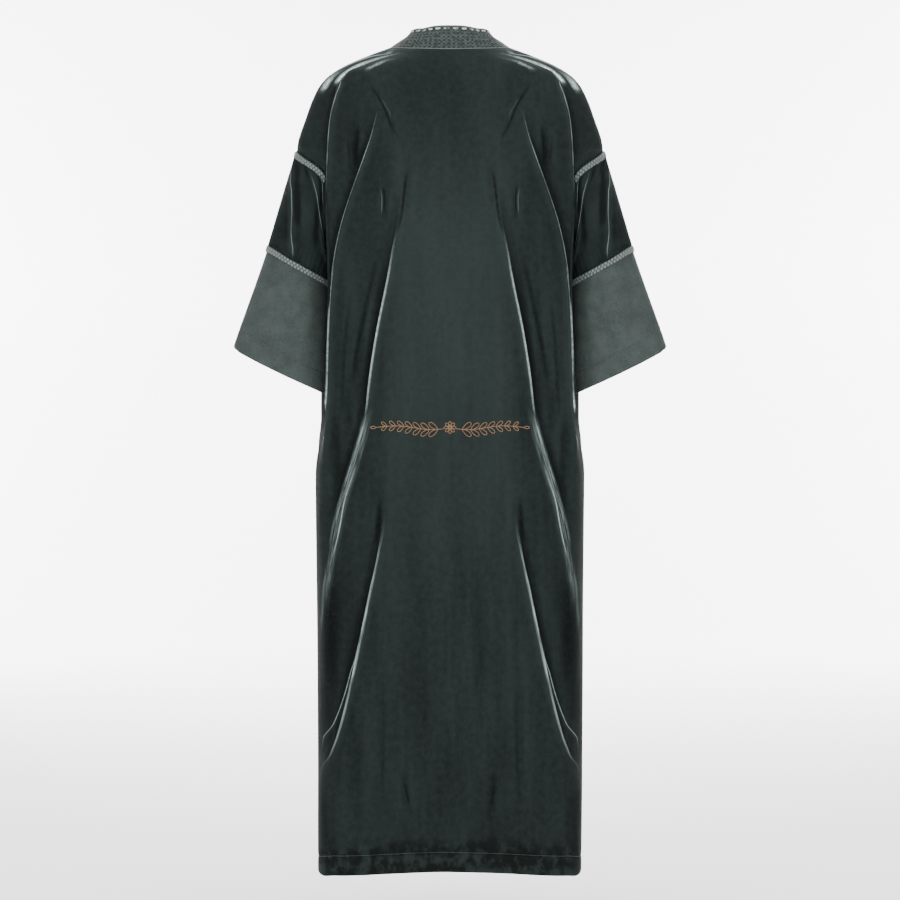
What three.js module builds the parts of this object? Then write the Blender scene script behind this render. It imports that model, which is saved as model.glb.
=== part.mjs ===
// An open-front abaya in velvet, hollow as when it is worn, hanging from the shoulders.
//
// Millimetres, +Z up, the fronts towards -Y, the wearer's left towards +X. The origin is between the two
// shoulder seams at the base of the neck, where the wearer's shoulders carry the garment.
//
// A maker cuts a back, two fronts, two sleeves and two cuffs, edges the neck and the fronts with a woven band
// and lays a braid over the armhole seam and over the cuff seam of each sleeve. Each of those is one mesh: a
// wall of cloth that follows horizontal sections round the body, or rings round the arm, parted from its
// neighbours by a seam's width.
import * as THREE from "three";

// Cloth, in millimetres of thickness.
const VELVET = 2;
const CUFF_CLOTH = 1.6;
const BAND_CLOTH = 3;
const BRAID_THICK = 1.6;

// Widths.
const SEAM = 0.3; // free space between two pieces that are sewn together
const INSET = SEAM / 2 + 0.1; // how far each piece's edge is drawn in from the seam's line
const BAND_WIDTH = 43;
const BRAID_WIDTH = 12;
const GATHER_DEPTH = 3.5; // how far the sleeve's gathers stand out
const GATHERS = 7; // round one sleeve

// How finely the cloth is divided.
const COLUMNS_TO_CREST = 12; // back, from the middle to the crest of the side fold
const FRONT_COLUMNS = 7; // front, from its edge to the crest
const COLUMNS_TO_SEAM = 5; // from the crest to the seam
const ARMHOLE_STEPS = 12; // from the top of the armhole to the underarm
const SHOULDER_ROW_STEP = 32; // the tallest row above the armhole
const ROW_STEP = 62; // the tallest row below the underarm

const DEGREE = Math.PI / 180;
const STEEPEST_CROWN = 34; // degrees by which the cloth may fall before the crest of the side fold

// The horizontal sections of the body, from the neck down. drop is the height below the origin, back and
// front the depth at the middle. crest is the place where the cloth folds back towards the side, frontCrest
// how far out that is on the front, and leave the angle at which it goes on from there. seam is the shoulder
// line, then the armhole, then the side seam, and arrive the angle at which the cloth meets it. An angle of 0
// runs outwards and one of 90 towards the seam.
const SECTION_COLUMNS = [
  "at", "drop", "back", "front", "crestX", "crestY", "frontCrest", "leave", "seamX", "arrive",
];
const SECTIONS = [
  ["neck", 6, 64, 35, 62, 50, 62, 34, 98, 90],
  ["slope", 20, 76, 48, 86, 60, 86, 34, 136, 90],
  ["shoulder", 40, 88, 66, 124, 70, 118, 36, 179, 90],
  ["tip", 60, 97, 78, 162, 74, 140, 38, 206, 90],
  ["cap", 80, 103, 88, 178, 78, 156, 42, 220, 90],
  ["blade", 120, 111, 103, 191, 81, 170, 44, 236, 90],
  ["armhole", 176, 117, 117, 198, 86, 184, 50, 251.5, 90],
  ["arm back", 217, 119, 125, 201, 88, 194, 64, 211, 60],
  ["armpit", 250, 120, 130, 202, 90, 200, 84, 199, 80],
  ["bust", 300, 121, 133, 202, 91, 205, 98, 191, 96],
  ["underarm", 345, 121, 132, 202, 91, 208, 102, 184, 90],
  ["waist", 450, 121, 130, 202, 91, 213, 104, 183, 90],
  ["hip", 582, 123, 132, 204, 91, 218, 100, 186, 90],
  ["seat", 650, 124, 133, 206, 93, 213, 70, 211, 90],
  ["thigh", 710, 125, 134, 203, 96, 206, 54, 220, 90],
  ["knee", 1000, 129, 138, 193, 102, 194, 44, 218, 90],
  ["hem", 1341, 134, 143, 188, 110, 188, 42, 215, 90],
].map((row) => Object.fromEntries(SECTION_COLUMNS.map((column, i) => [column, row[i]])));
const HEM_DIP = 19; // how much lower the hem is at the side seam than at the middle
const DIP_FROM = 900; // the drop below which the rows begin to dip
const NAPE_DIP = 9; // how much lower the neckline is at the nape than at the shoulder
const NAPE_TO = 60; // the drop at which the rows are level again
const FRONT_TOP_END = 14; // the drop at which the front's top row ends, on the shoulder seam

// The long folds of each side. The path runs down the crest, as distances out from the middle and down from the
// origin; the cloth drops by depth on its outer side and comes back over reach.
const FOLDS = [
  {
    at: "shoulder", side: 1, depth: 7, reach: 30,
    path: [[70, 4], [116, 33], [152, 46], [176, 66], [186, 99], [193, 126], [197, 163], [200, 220]],
  },
  {
    at: "blade", side: 1, depth: 9, reach: 30,
    path: [[108, 80], [118, 130], [134, 186], [153, 238], [176, 308], [190, 400]],
  },
  {
    at: "waist", side: 1, depth: 12, reach: 40,
    path: [[73, 215], [86, 315], [99, 385], [119, 485], [137, 615], [163, 688], [198, 790]],
  },
  {
    at: "hip", side: 1, depth: 7, reach: 26,
    path: [[143, 650], [166, 724], [177, 775], [192, 841], [209, 890]],
  },
  {
    at: "calf", side: 1, depth: 12, reach: 40,
    path: [[106, 740], [113, 820], [128, 892], [152, 995], [168, 1050], [215, 1170]],
  },
  {
    at: "bust", side: -1, depth: 9, reach: 34,
    path: [[96, 250], [112, 420], [124, 600], [150, 780], [182, 930]],
  },
  {
    at: "front", side: -1, depth: 12, reach: 44,
    path: [[88, 560], [104, 760], [128, 960], [168, 1140], [206, 1290]],
  },
  {
    at: "chest", side: -1, depth: 5, reach: 20,
    path: [[150, 90], [138, 150], [122, 215], [112, 290]],
  },
  {
    at: "front shoulder", side: -1, depth: 6, reach: 24,
    path: [[116, 33], [146, 50], [164, 80], [180, 130], [192, 200], [198, 240]],
  },
];
const FOLD_FLANK = 15; // the width over which a fold drops
const FOLD_END = 0.22; // the share of a path over which a fold fades in and out
const FREE_OF_FOLDS = [1.35, 1.85]; // the places between which the folds fade out towards the seam

// Where the edge of each front runs, as the distance out from the middle at each drop.
const FRONT_EDGE = [
  { drop: 6, out: 98 },
  { drop: 60, out: 87 },
  { drop: 120, out: 74 },
  { drop: 200, out: 61 },
  { drop: 300, out: 51 },
  { drop: 345, out: 50 },
  { drop: 1341, out: 50 },
];

// Half of the armhole, from its top to the underarm: how far out, how far behind the middle and how far down.
const ARMHOLE = [
  { out: 251.5, deep: 0, drop: 176 },
  { out: 247, deep: 33, drop: 180 },
  { out: 231, deep: 57, drop: 190 },
  { out: 212, deep: 67, drop: 204 },
  { out: 201, deep: 65, drop: 226 },
  { out: 194, deep: 51, drop: 268 },
  { out: 189, deep: 30, drop: 313 },
  { out: 184, deep: 0, drop: 345 },
];

// The two rings of a sleeve below its armhole. outer and inner are the ends of the ring, seen from the back, as
// distances out and down; depth is half the ring's depth and forward how far its middle lies in front.
const CUFF_SEAM = { outer: [300, 336], inner: [198, 395], depth: 54, forward: 3, droop: 14, sag: 0 };
const CUFF_HEM = { outer: [356, 502], inner: [198, 574], depth: 46, forward: 8, droop: 5, sag: 5 };
const ARM_LEAN = 17.4 * DEGREE;
const BRAID_END = 90 * DEGREE; // the armhole braid stops short of the underarm by this much of the ring

// The band's section: how far each line lies from the seam, how far it is raised and how thick it is there.
const BAND_LINES = [
  { from: 0, raise: 0, thick: BAND_CLOTH },
  { from: 16, raise: 0.7, thick: BAND_CLOTH },
  { from: 35, raise: 0.2, thick: BAND_CLOTH },
  { from: 39, raise: 1.4, thick: 4.4 },
  { from: BAND_WIDTH, raise: 0, thick: 1.8 },
];
const STAND_BACK = 25 * DEGREE; // how much steeper than the back the band stands at the nape
const STAND_SIDE = 15 * DEGREE; // and at the shoulder

// ---------------------------------------------------------------- curves

// A smooth curve through the points (xs, ys), with no overshoot between them.
function smoothCurve(xs, ys) {
  const slopes = xs.slice(1).map((x, i) => (ys[i + 1] - ys[i]) / (x - xs[i]));
  const bends = ys.map((_, i) => {
    const before = slopes[i - 1] ?? slopes[i];
    const after = slopes[i] ?? before;
    return before * after <= 0 ? 0 : (2 * before * after) / (before + after);
  });
  return (x) => {
    let i = xs.findIndex((next) => next > x) - 1;
    if (i === -2) i = xs.length - 2;
    i = Math.max(i, 0);
    const width = xs[i + 1] - xs[i];
    const t = THREE.MathUtils.clamp((x - xs[i]) / width, 0, 1);
    const rise = t * t * (3 - 2 * t);
    return (
      ys[i] * (1 - rise) +
      ys[i + 1] * rise +
      width * t * (1 - t) * (bends[i] * (1 - t) - bends[i + 1] * t)
    );
  };
}

const drops = SECTIONS.map((row) => row.drop);
const sectionCurves = Object.fromEntries(
  SECTION_COLUMNS.slice(2).map((column) => [column, smoothCurve(drops, SECTIONS.map((row) => row[column]))]),
);
const frontEdge = smoothCurve(FRONT_EDGE.map((row) => row.drop), FRONT_EDGE.map((row) => row.out));
const dropAt = (name) => SECTIONS.find((row) => row.at === name).drop;
const NECK = dropAt("neck");
const ARMHOLE_TOP = dropAt("armhole");
const UNDERARM = dropAt("underarm");
const HEM = dropAt("hem");

// The armhole's closed curve, of which the first half lies on the back.
const armholeFront = ARMHOLE.slice(1, -1).reverse().map((row) => ({ ...row, deep: -row.deep }));
const armholeCurve = new THREE.CatmullRomCurve3(
  [...ARMHOLE, ...armholeFront].map(({ out, deep, drop }) => new THREE.Vector3(out, deep, -drop)),
  true,
);
armholeCurve.arcLengthDivisions = 2000;

// The point of the armhole's back half at a drop.
function armholeAt(drop) {
  let [low, high] = [0, 0.5];
  for (let i = 0; i < 40; i++) {
    const middle = (low + high) / 2;
    if (-armholeCurve.getPointAt(middle).z < drop) low = middle;
    else high = middle;
  }
  return armholeCurve.getPointAt((low + high) / 2);
}

// The section at a drop, as one object with the table's columns and the seam's distance from the middle plane.
function sectionAt(drop) {
  const columns = Object.entries(sectionCurves).map(([column, curve]) => [column, curve(drop)]);
  const row = Object.fromEntries(columns);
  if (drop <= ARMHOLE_TOP || drop >= UNDERARM) return { ...row, seamY: 0 };
  const seam = armholeAt(drop);
  return { ...row, seamX: seam.x, seamY: seam.y };
}

// A point on the left half of a section. place is 0 at the middle, 1 at the crest and 2 at the seam.
function plainPoint(drop, side, place) {
  const s = sectionAt(drop);
  const middle = side > 0 ? s.back : s.front;
  const crestX = side > 0 ? s.crestX : s.frontCrest;
  const crestY = (s.crestY * middle) / s.back;
  const dip =
    HEM_DIP * THREE.MathUtils.smoothstep(drop, DIP_FROM, HEM) * Math.sin((place * Math.PI) / 4) ** 2 +
    NAPE_DIP * (1 - THREE.MathUtils.smoothstep(drop, NECK, NAPE_TO)) * (1 - (place / 2) ** 2);
  if (place <= 1) {
    const fall = Math.tan(Math.min(s.leave, STEEPEST_CROWN) * DEGREE);
    const power = THREE.MathUtils.clamp((fall * crestX) / (middle - crestY), 2, 6);
    return new THREE.Vector3(crestX * place, side * (middle - (middle - crestY) * place ** power), -drop - dip);
  }
  const crest = new THREE.Vector2(crestX, crestY);
  const seam = new THREE.Vector2(s.seamX, s.seamY);
  const span = crest.distanceTo(seam);
  const leave = new THREE.Vector2(Math.cos(s.leave * DEGREE), -Math.sin(s.leave * DEGREE));
  const arrive = new THREE.Vector2(Math.cos(s.arrive * DEGREE), -Math.sin(s.arrive * DEGREE));
  const flank = new THREE.CubicBezierCurve(
    crest,
    crest.clone().addScaledVector(leave, span * 0.32),
    seam.clone().addScaledVector(arrive, span * -0.42),
    seam,
  );
  const p = flank.getPoint(place - 1);
  return new THREE.Vector3(p.x, side * p.y, -drop - dip);
}

// How deep the folds of one side let the cloth drop at a point.
function foldDepth(point, side, place) {
  const at = new THREE.Vector2(Math.abs(point.x), -point.z);
  const nearSeam = 1 - THREE.MathUtils.smoothstep(place, ...FREE_OF_FOLDS);
  let depth = 0;
  for (const fold of FOLDS.filter((f) => f.side === side)) {
    let best = { gap: Infinity };
    fold.path.slice(1).forEach((end, i) => {
      const from = new THREE.Vector2(...fold.path[i]);
      const run = new THREE.Vector2(...end).sub(from);
      const share = THREE.MathUtils.clamp(at.clone().sub(from).dot(run) / run.lengthSq(), 0, 1);
      const offset = at.clone().sub(from).addScaledVector(run, -share);
      if (offset.length() < best.gap) {
        const outer = offset.x * run.y - offset.y * run.x >= 0;
        best = { gap: offset.length(), outer, along: (i + share) / (fold.path.length - 1) };
      }
    });
    const across = best.outer ? best.gap : -best.gap;
    const begun = THREE.MathUtils.smoothstep(best.along, 0, FOLD_END);
    const ends = begun * (1 - THREE.MathUtils.smoothstep(best.along, 1 - FOLD_END, 1));
    const flank = THREE.MathUtils.smoothstep(across, -FOLD_FLANK / 2, FOLD_FLANK / 2);
    depth += fold.depth * ends * flank * Math.exp(-Math.max(across, 0) / fold.reach);
  }
  return depth * nearSeam;
}

// The outward normal of the plain surface.
function plainNormal(drop, side, place) {
  const step = 0.04;
  const rise = 4;
  const [inner, outer] = [Math.max(place - step, 0), Math.min(place + step, 2)];
  const [upper, lower] = [Math.max(drop - rise, NECK), Math.min(drop + rise, HEM)];
  const across = plainPoint(drop, side, outer).sub(plainPoint(drop, side, inner));
  const down = plainPoint(lower, side, place).sub(plainPoint(upper, side, place));
  return across.cross(down).normalize().multiplyScalar(-side);
}

// A point of the folded cloth.
function bodyPoint(drop, side, place) {
  const point = plainPoint(drop, side, place);
  const depth = foldDepth(point, side, place);
  return depth === 0 ? point : point.addScaledVector(plainNormal(drop, side, place), -depth);
}

// The place on a section at which the cloth is that far out from the middle.
function placeAt(drop, side, out) {
  let [low, high] = [0, 2];
  for (let i = 0; i < 40; i++) {
    const middle = (low + high) / 2;
    if (plainPoint(drop, side, middle).x < out) low = middle;
    else high = middle;
  }
  return (low + high) / 2;
}

// ---------------------------------------------------------------- rows

// Values from start to end in equal steps no longer than step, without the last.
function steps(start, end, step) {
  const count = Math.ceil((end - start) / step);
  return Array.from({ length: count }, (_, i) => start + ((end - start) * i) / count);
}

// Rows from each chosen section to the next one, no further apart than step.
function stepsBetween(isChosen, step) {
  return drops.filter(isChosen).flatMap((drop) => steps(drop, drops[drops.indexOf(drop) + 1], step));
}

// The drops that part the armhole into equal lengths of seam.
const ARMHOLE_DROPS = Array.from({ length: ARMHOLE_STEPS + 1 }, (_, i) => {
  if (i === 0) return ARMHOLE_TOP;
  if (i === ARMHOLE_STEPS) return UNDERARM;
  return -armholeCurve.getPointAt(i / ARMHOLE_STEPS / 2).z;
});
const ROW_DROPS = [
  ...stepsBetween((drop) => drop < ARMHOLE_TOP, SHOULDER_ROW_STEP),
  ...ARMHOLE_DROPS.slice(0, -1),
  ...stepsBetween((drop) => drop >= UNDERARM && drop < HEM, ROW_STEP),
  HEM,
];

// ---------------------------------------------------------------- walls

// A unit vector from one point towards another.
const towards = (from, to) => to.clone().sub(from).normalize();

// The outward normals of a grid of points, worked out from each point's neighbours. outwards is 1 or -1.
function gridNormals(grid, outwards, round = false) {
  return grid.map((row, i) =>
    row.map((_, j) => {
      const last = row.length - 1;
      const left = round ? row[(j + last) % row.length] : row[Math.max(j - 1, 0)];
      const right = round ? row[(j + 1) % row.length] : row[Math.min(j + 1, last)];
      const up = grid[Math.max(i - 1, 0)][j];
      const down = grid[Math.min(i + 1, grid.length - 1)][j];
      return right.clone().sub(left).cross(down.clone().sub(up)).normalize().multiplyScalar(outwards);
    }),
  );
}

// Draws the named edges of a grid in by half a seam.
function drawIn(grid, { top, bottom, first, last }) {
  const moved = grid.map((row) => row.map((p) => p.clone()));
  const end = grid.length - 1;
  grid.forEach((row, i) => {
    const side = row.length - 1;
    if (first) moved[i][0].addScaledVector(towards(row[0], row[1]), INSET);
    if (last) moved[i][side].addScaledVector(towards(row[side], row[side - 1]), INSET);
    row.forEach((p, j) => {
      if (top && i === 0) moved[0][j].addScaledVector(towards(p, grid[1][j]), INSET);
      if (bottom && i === end) moved[end][j].addScaledVector(towards(p, grid[end - 1][j]), INSET);
    });
  });
  return moved;
}

// The closed wall between two grids of points. outwards is the way round of the outer grid, as in gridNormals.
function wall(outer, inner, outwards, round = false) {
  const rows = outer.length;
  const columns = outer[0].length;
  const positions = [outer, inner].flat(2).flatMap((p) => [p.x, p.y, p.z]);
  const index = (layer, i, j) => (layer * rows + i) * columns + (j % columns);
  const faces = [];
  const quad = (a, b, c, d) => (outwards > 0 ? faces.push(a, b, c, a, c, d) : faces.push(a, c, b, a, d, c));
  const cells = round ? columns : columns - 1;
  for (let i = 0; i < rows - 1; i++) {
    for (let j = 0; j < cells; j++) {
      quad(index(0, i, j), index(0, i, j + 1), index(0, i + 1, j + 1), index(0, i + 1, j));
      quad(index(1, i, j), index(1, i + 1, j), index(1, i + 1, j + 1), index(1, i, j + 1));
    }
    if (round) continue;
    quad(index(0, i, 0), index(0, i + 1, 0), index(1, i + 1, 0), index(1, i, 0));
    const end = columns - 1;
    quad(index(0, i, end), index(1, i, end), index(1, i + 1, end), index(0, i + 1, end));
  }
  const bottom = rows - 1;
  for (let j = 0; j < cells; j++) {
    quad(index(0, 0, j), index(1, 0, j), index(1, 0, j + 1), index(0, 0, j + 1));
    quad(index(0, bottom, j), index(0, bottom, j + 1), index(1, bottom, j + 1), index(1, bottom, j));
  }
  const geometry = new THREE.BufferGeometry();
  geometry.setAttribute("position", new THREE.Float32BufferAttribute(positions, 3));
  geometry.setIndex(faces);
  return geometry;
}

// A wall of even thickness under a grid of outer points.
function cloth(outer, normals, thickness, outwards, round = false) {
  const inner = outer.map((row, i) => row.map((p, j) => p.clone().addScaledVector(normals[i][j], -thickness)));
  return wall(outer, inner, outwards, round);
}

// The same geometry on the other side of the body.
function mirrored(geometry) {
  const copy = geometry.clone().scale(-1, 1, 1);
  const index = copy.getIndex();
  for (let i = 0; i < index.count; i += 3) {
    const second = index.getX(i + 1);
    index.setX(i + 1, index.getX(i + 2));
    index.setX(i + 2, second);
  }
  return copy;
}

// ---------------------------------------------------------------- seams

// The normal that two pieces share at the armhole. turn is 0 at the top, and half a turn at the underarm.
function armholeNormal(turn) {
  const outwards = new THREE.Vector3(Math.cos(ARM_LEAN), 0, Math.sin(ARM_LEAN));
  const below = new THREE.Vector3(0.16, 0, -0.98);
  const lean = Math.cos(turn);
  return new THREE.Vector3(0, Math.sin(turn), 0)
    .addScaledVector(outwards, Math.max(lean, 0))
    .addScaledVector(below, Math.max(-lean, 0))
    .normalize();
}

// The normal that the back and the front share at a row's seam.
function seamNormal(drop, side) {
  if (drop > ARMHOLE_TOP && drop < UNDERARM) {
    const turn = (Math.PI * ARMHOLE_DROPS.indexOf(drop)) / ARMHOLE_STEPS;
    return armholeNormal(side > 0 ? turn : -turn);
  }
  if (drop === UNDERARM) return armholeNormal(Math.PI);
  const up = plainPoint(Math.max(drop - 6, NECK), 1, 2);
  const down = plainPoint(Math.min(drop + 6, HEM), 1, 2);
  const run = towards(up, down);
  return new THREE.Vector3(-run.z, 0, run.x).normalize();
}

// ---------------------------------------------------------------- back and fronts

const flankPlaces = Array.from({ length: COLUMNS_TO_SEAM }, (_, j) => 1 + (j + 1) / COLUMNS_TO_SEAM);

// One half of the back, as rows of points from the middle to the seam.
function halfBack() {
  const crownPlaces = Array.from({ length: COLUMNS_TO_CREST + 1 }, (_, j) => j / COLUMNS_TO_CREST);
  const places = [...crownPlaces, ...flankPlaces];
  return ROW_DROPS.map((drop) => places.map((place) => bodyPoint(drop, 1, place)));
}

// The left front, as rows of points from its edge to the seam. The top row runs along the shoulder.
function leftFront() {
  return ROW_DROPS.map((drop, i) => {
    const edge = placeAt(drop, -1, frontEdge(drop));
    if (i === 0) {
      const count = FRONT_COLUMNS + COLUMNS_TO_SEAM;
      const along = (j) => drop + ((FRONT_TOP_END - drop) * j) / count;
      return Array.from({ length: count + 1 }, (_, j) => plainPoint(along(j), -1, 2));
    }
    const crest = Math.max(1, edge + (2 - edge) * 0.5);
    const step = (crest - edge) / FRONT_COLUMNS;
    const toCrest = Array.from({ length: FRONT_COLUMNS }, (_, j) => edge + step * j);
    const toSeam = flankPlaces.map((place) => crest + (2 - crest) * (place - 1));
    return [...toCrest, crest, ...toSeam].map((place) => bodyPoint(drop, -1, place));
  });
}

// Gives the last column of a grid the normals that it shares with its neighbour.
function shareSeam(normals, side) {
  normals.forEach((row, i) => {
    row[row.length - 1] = seamNormal(ROW_DROPS[i], side);
  });
  return normals;
}

const backHalf = halfBack();
const backHalfNormals = shareSeam(gridNormals(backHalf, 1), 1);
backHalfNormals.forEach((row) => row[0].setX(0).normalize());

function mirrorRow(row) {
  return row.slice(1).reverse().map((p) => new THREE.Vector3(-p.x, p.y, p.z)).concat(row);
}

function makeBack() {
  const outer = drawIn(backHalf.map(mirrorRow), { top: true, first: true, last: true });
  return cloth(outer, backHalfNormals.map(mirrorRow), VELVET, 1);
}

const frontRows = leftFront();
const frontNormals = shareSeam(gridNormals(frontRows, -1), -1);
frontNormals[0] = frontRows[0].map((_, j) => seamNormal(ROW_DROPS[0] + j, -1));

function makeFront() {
  return cloth(drawIn(frontRows, { top: true, first: true, last: true }), frontNormals, VELVET, -1);
}

// ---------------------------------------------------------------- sleeves

// A point of one of the sleeve's rings. turn is 0 on the outer side of the arm and grows towards the back.
function ringPoint(ring, turn) {
  const lean = Math.cos(turn);
  const share = (1 - lean) / 2;
  const out = ring.outer[0] + (ring.inner[0] - ring.outer[0]) * share;
  const drop = ring.outer[1] + (ring.inner[1] - ring.outer[1]) * share;
  return new THREE.Vector3(
    out,
    ring.depth * Math.sin(turn) - ring.forward,
    -drop - ring.droop * share ** 4 - ring.sag * Math.sin(turn) ** 2,
  );
}

const ringTurns = Array.from({ length: 2 * ARMHOLE_STEPS }, (_, j) => (Math.PI * j) / ARMHOLE_STEPS);

// The armhole as a ring of points that are the body's own.
const armhole = ringTurns.map((_, j) => {
  const back = j <= ARMHOLE_STEPS;
  return plainPoint(ARMHOLE_DROPS[back ? j : 2 * ARMHOLE_STEPS - j], back ? 1 : -1, 2);
});
const cuffSeam = ringTurns.map((turn) => ringPoint(CUFF_SEAM, turn));
const cuffHem = ringTurns.map((turn) => ringPoint(CUFF_HEM, turn));

// Rows between two rings: the rings themselves, one at a distance from each, and one for each share of the way
// between those two.
function between(ringA, ringB, { fromA, shares, fromB }) {
  const along = (a, b, distance) => a.clone().addScaledVector(towards(a, b), distance);
  const at = (measure) => ringA.map((a, j) => along(a, ringB[j], measure(a.distanceTo(ringB[j]))));
  return [
    at(() => 0),
    at(() => fromA),
    ...shares.map((share) => at((length) => fromA + (length - fromA - fromB) * share)),
    at((length) => length - fromB),
    at((length) => length),
  ];
}

const BRAID_START = 1; // the armhole braid begins this far below the seam
const CUFF_TURN_IN = 30; // the depth of the cuff's hem
const THIRDS = [1 / 3, 2 / 3];
const upperRows = between(armhole, cuffSeam, {
  fromA: BRAID_START + BRAID_WIDTH,
  shares: THIRDS,
  fromB: BRAID_WIDTH / 2,
});
const cuffRows = between(cuffSeam, cuffHem, { fromA: BRAID_WIDTH / 2, shares: THIRDS, fromB: CUFF_TURN_IN });
const tubeNormals = gridNormals(upperRows.concat(cuffRows.slice(1)), -1, true);
tubeNormals[0] = ringTurns.map((turn) => armholeNormal(turn));

function makeSleeve() {
  const normals = tubeNormals.slice(0, upperRows.length);
  const gathered = upperRows.map((row, i) =>
    row.map((p, j) => {
      const free = i > 1 && i < upperRows.length - 2;
      const gather = free ? (GATHER_DEPTH * (1 + Math.cos(GATHERS * ringTurns[j]))) / 2 : 0;
      return p.clone().addScaledVector(normals[i][j], gather);
    }),
  );
  return cloth(drawIn(gathered, { top: true, bottom: true }), normals, VELVET, -1, true);
}

function makeCuff() {
  const normals = tubeNormals.slice(upperRows.length - 1);
  return cloth(drawIn(cuffRows, { top: true }), normals, CUFF_CLOTH, -1, true);
}

// A braid laid on rows of cloth, from their points and normals moved out.
function braid(rows, normals, round) {
  const raised = (height) =>
    rows.map((row, i) => row.map((p, j) => p.clone().addScaledVector(normals[i][j], height)));
  return wall(raised(SEAM + BRAID_THICK), raised(SEAM), -1, round);
}

function makeArmholeBraid() {
  const first = Math.ceil((BRAID_END / Math.PI) * ARMHOLE_STEPS);
  const round = 2 * ARMHOLE_STEPS;
  const order = Array.from({ length: 2 * first + 1 }, (_, k) => (k - first + round) % round);
  const pick = (row) => order.map((j) => row[j]);
  const top = upperRows[0].map((p, j) => p.clone().addScaledVector(towards(p, cuffSeam[j]), BRAID_START));
  return braid([pick(top), pick(upperRows[1])], [pick(tubeNormals[1]), pick(tubeNormals[1])], false);
}

function makeCuffBraid() {
  const seam = upperRows.length - 1;
  return braid([upperRows[seam - 1], cuffSeam, cuffRows[1]], tubeNormals.slice(seam - 1, seam + 2), true);
}

// ---------------------------------------------------------------- bands

// The band along a seam. Each station has the seam's point, its normal and how much steeper the band stands.
function band(stations, { drawnFirst, drawnLast }) {
  const runs = stations.map((_, i) =>
    towards(stations[Math.max(i - 1, 0)].point, stations[Math.min(i + 1, stations.length - 1)].point),
  );
  stations.forEach((station, i) => {
    if (station.run) runs[i] = station.run;
  });
  const frames = stations.map(({ point, normal, stand }, i) => {
    const run = runs[i];
    const across = run.clone().cross(normal).normalize();
    const turned = across.applyAxisAngle(run, -stand);
    return { point, across: turned, out: turned.clone().cross(run).normalize() };
  });
  const line = (lift) =>
    frames.map(({ point, across, out }, i) =>
      BAND_LINES.map(({ from, raise, thick }) => {
        const p = point.clone().addScaledVector(across, from === 0 ? SEAM : from);
        p.addScaledVector(out, lift ? raise : raise - thick);
        if (drawnFirst && i === 0) p.addScaledVector(runs[i], SEAM / 2);
        if (drawnLast && i === frames.length - 1) p.addScaledVector(runs[i], -SEAM / 2);
        return p;
      }),
    );
  return { outer: line(true), inner: line(false) };
}

const shoulderRun = towards(plainPoint(NECK, 1, 1.8), frontRows[2][0]);
const shoulderStation = {
  point: plainPoint(NECK, 1, 2),
  normal: seamNormal(NECK, 1),
  stand: STAND_SIDE,
  run: shoulderRun,
};

function makeNeckBand() {
  const half = backHalf[0].slice(0, -1).map((point, j) => ({
    point,
    normal: backHalfNormals[0][j],
    stand: STAND_BACK + (STAND_SIDE - STAND_BACK) * (j / (backHalf[0].length - 1)) ** 2,
  }));
  const flip = (v) => new THREE.Vector3(-v.x, v.y, v.z);
  const flipStation = (station) => ({ ...station, point: flip(station.point), normal: flip(station.normal) });
  const otherHalf = half.slice(1).reverse().map(flipStation);
  const farShoulder = { ...flipStation(shoulderStation), run: flip(shoulderRun).negate() };
  const stations = [farShoulder, ...otherHalf, ...half, shoulderStation];
  const { outer, inner } = band(stations, { drawnFirst: true, drawnLast: true });
  return wall(outer, inner, 1);
}

function makeFrontBand() {
  const stations = frontRows.slice(1).map((row, i) => ({
    point: row[0],
    normal: frontNormals[i + 1][0],
    stand: STAND_SIDE * Math.max(0, 1 - (i + 1) / 4),
  }));
  const { outer, inner } = band([shoulderStation, ...stations], { drawnFirst: true });
  return wall(outer, inner, 1);
}

// ---------------------------------------------------------------- the garment

const velvet = new THREE.MeshStandardMaterial({ color: 0x2c3534, roughness: 0.9, metalness: 0 });
const crepe = new THREE.MeshStandardMaterial({ color: 0x505a59, roughness: 0.8, metalness: 0 });
const bandWeave = new THREE.MeshStandardMaterial({ color: 0x46504e, roughness: 0.75, metalness: 0 });
const braidWeave = new THREE.MeshStandardMaterial({ color: 0x7b8583, roughness: 0.7, metalness: 0 });

const abaya = new THREE.Group();

function add(name, geometry, material) {
  const mesh = new THREE.Mesh(geometry, material);
  mesh.name = name;
  abaya.add(mesh);
}

function addPair(name, geometry, material) {
  add(`${name}_left`, geometry, material);
  add(`${name}_right`, mirrored(geometry), material);
}

add("back", makeBack(), velvet);
addPair("front", makeFront(), velvet);
addPair("sleeve", makeSleeve(), velvet);
addPair("cuff", makeCuff(), crepe);
addPair("armhole_braid", makeArmholeBraid(), braidWeave);
addPair("cuff_braid", makeCuffBraid(), braidWeave);
add("neck_band", makeNeckBand(), bandWeave);
addPair("front_band", makeFrontBand(), bandWeave);

export default abaya;
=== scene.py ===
"""An open-front velvet abaya, filled out as when it is worn, seen from the back.

Metres in Blender, millimetres in the tables, +Z up, the fronts towards -Y and the wearer's left towards +X.
The cloth follows the same horizontal sections as the solids, divided more finely, with the folds, creases,
gathers and sewing laid on it by short tables.
"""

import logging
import math
from dataclasses import dataclass, field
from enum import Enum
from typing import Sequence

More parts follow.
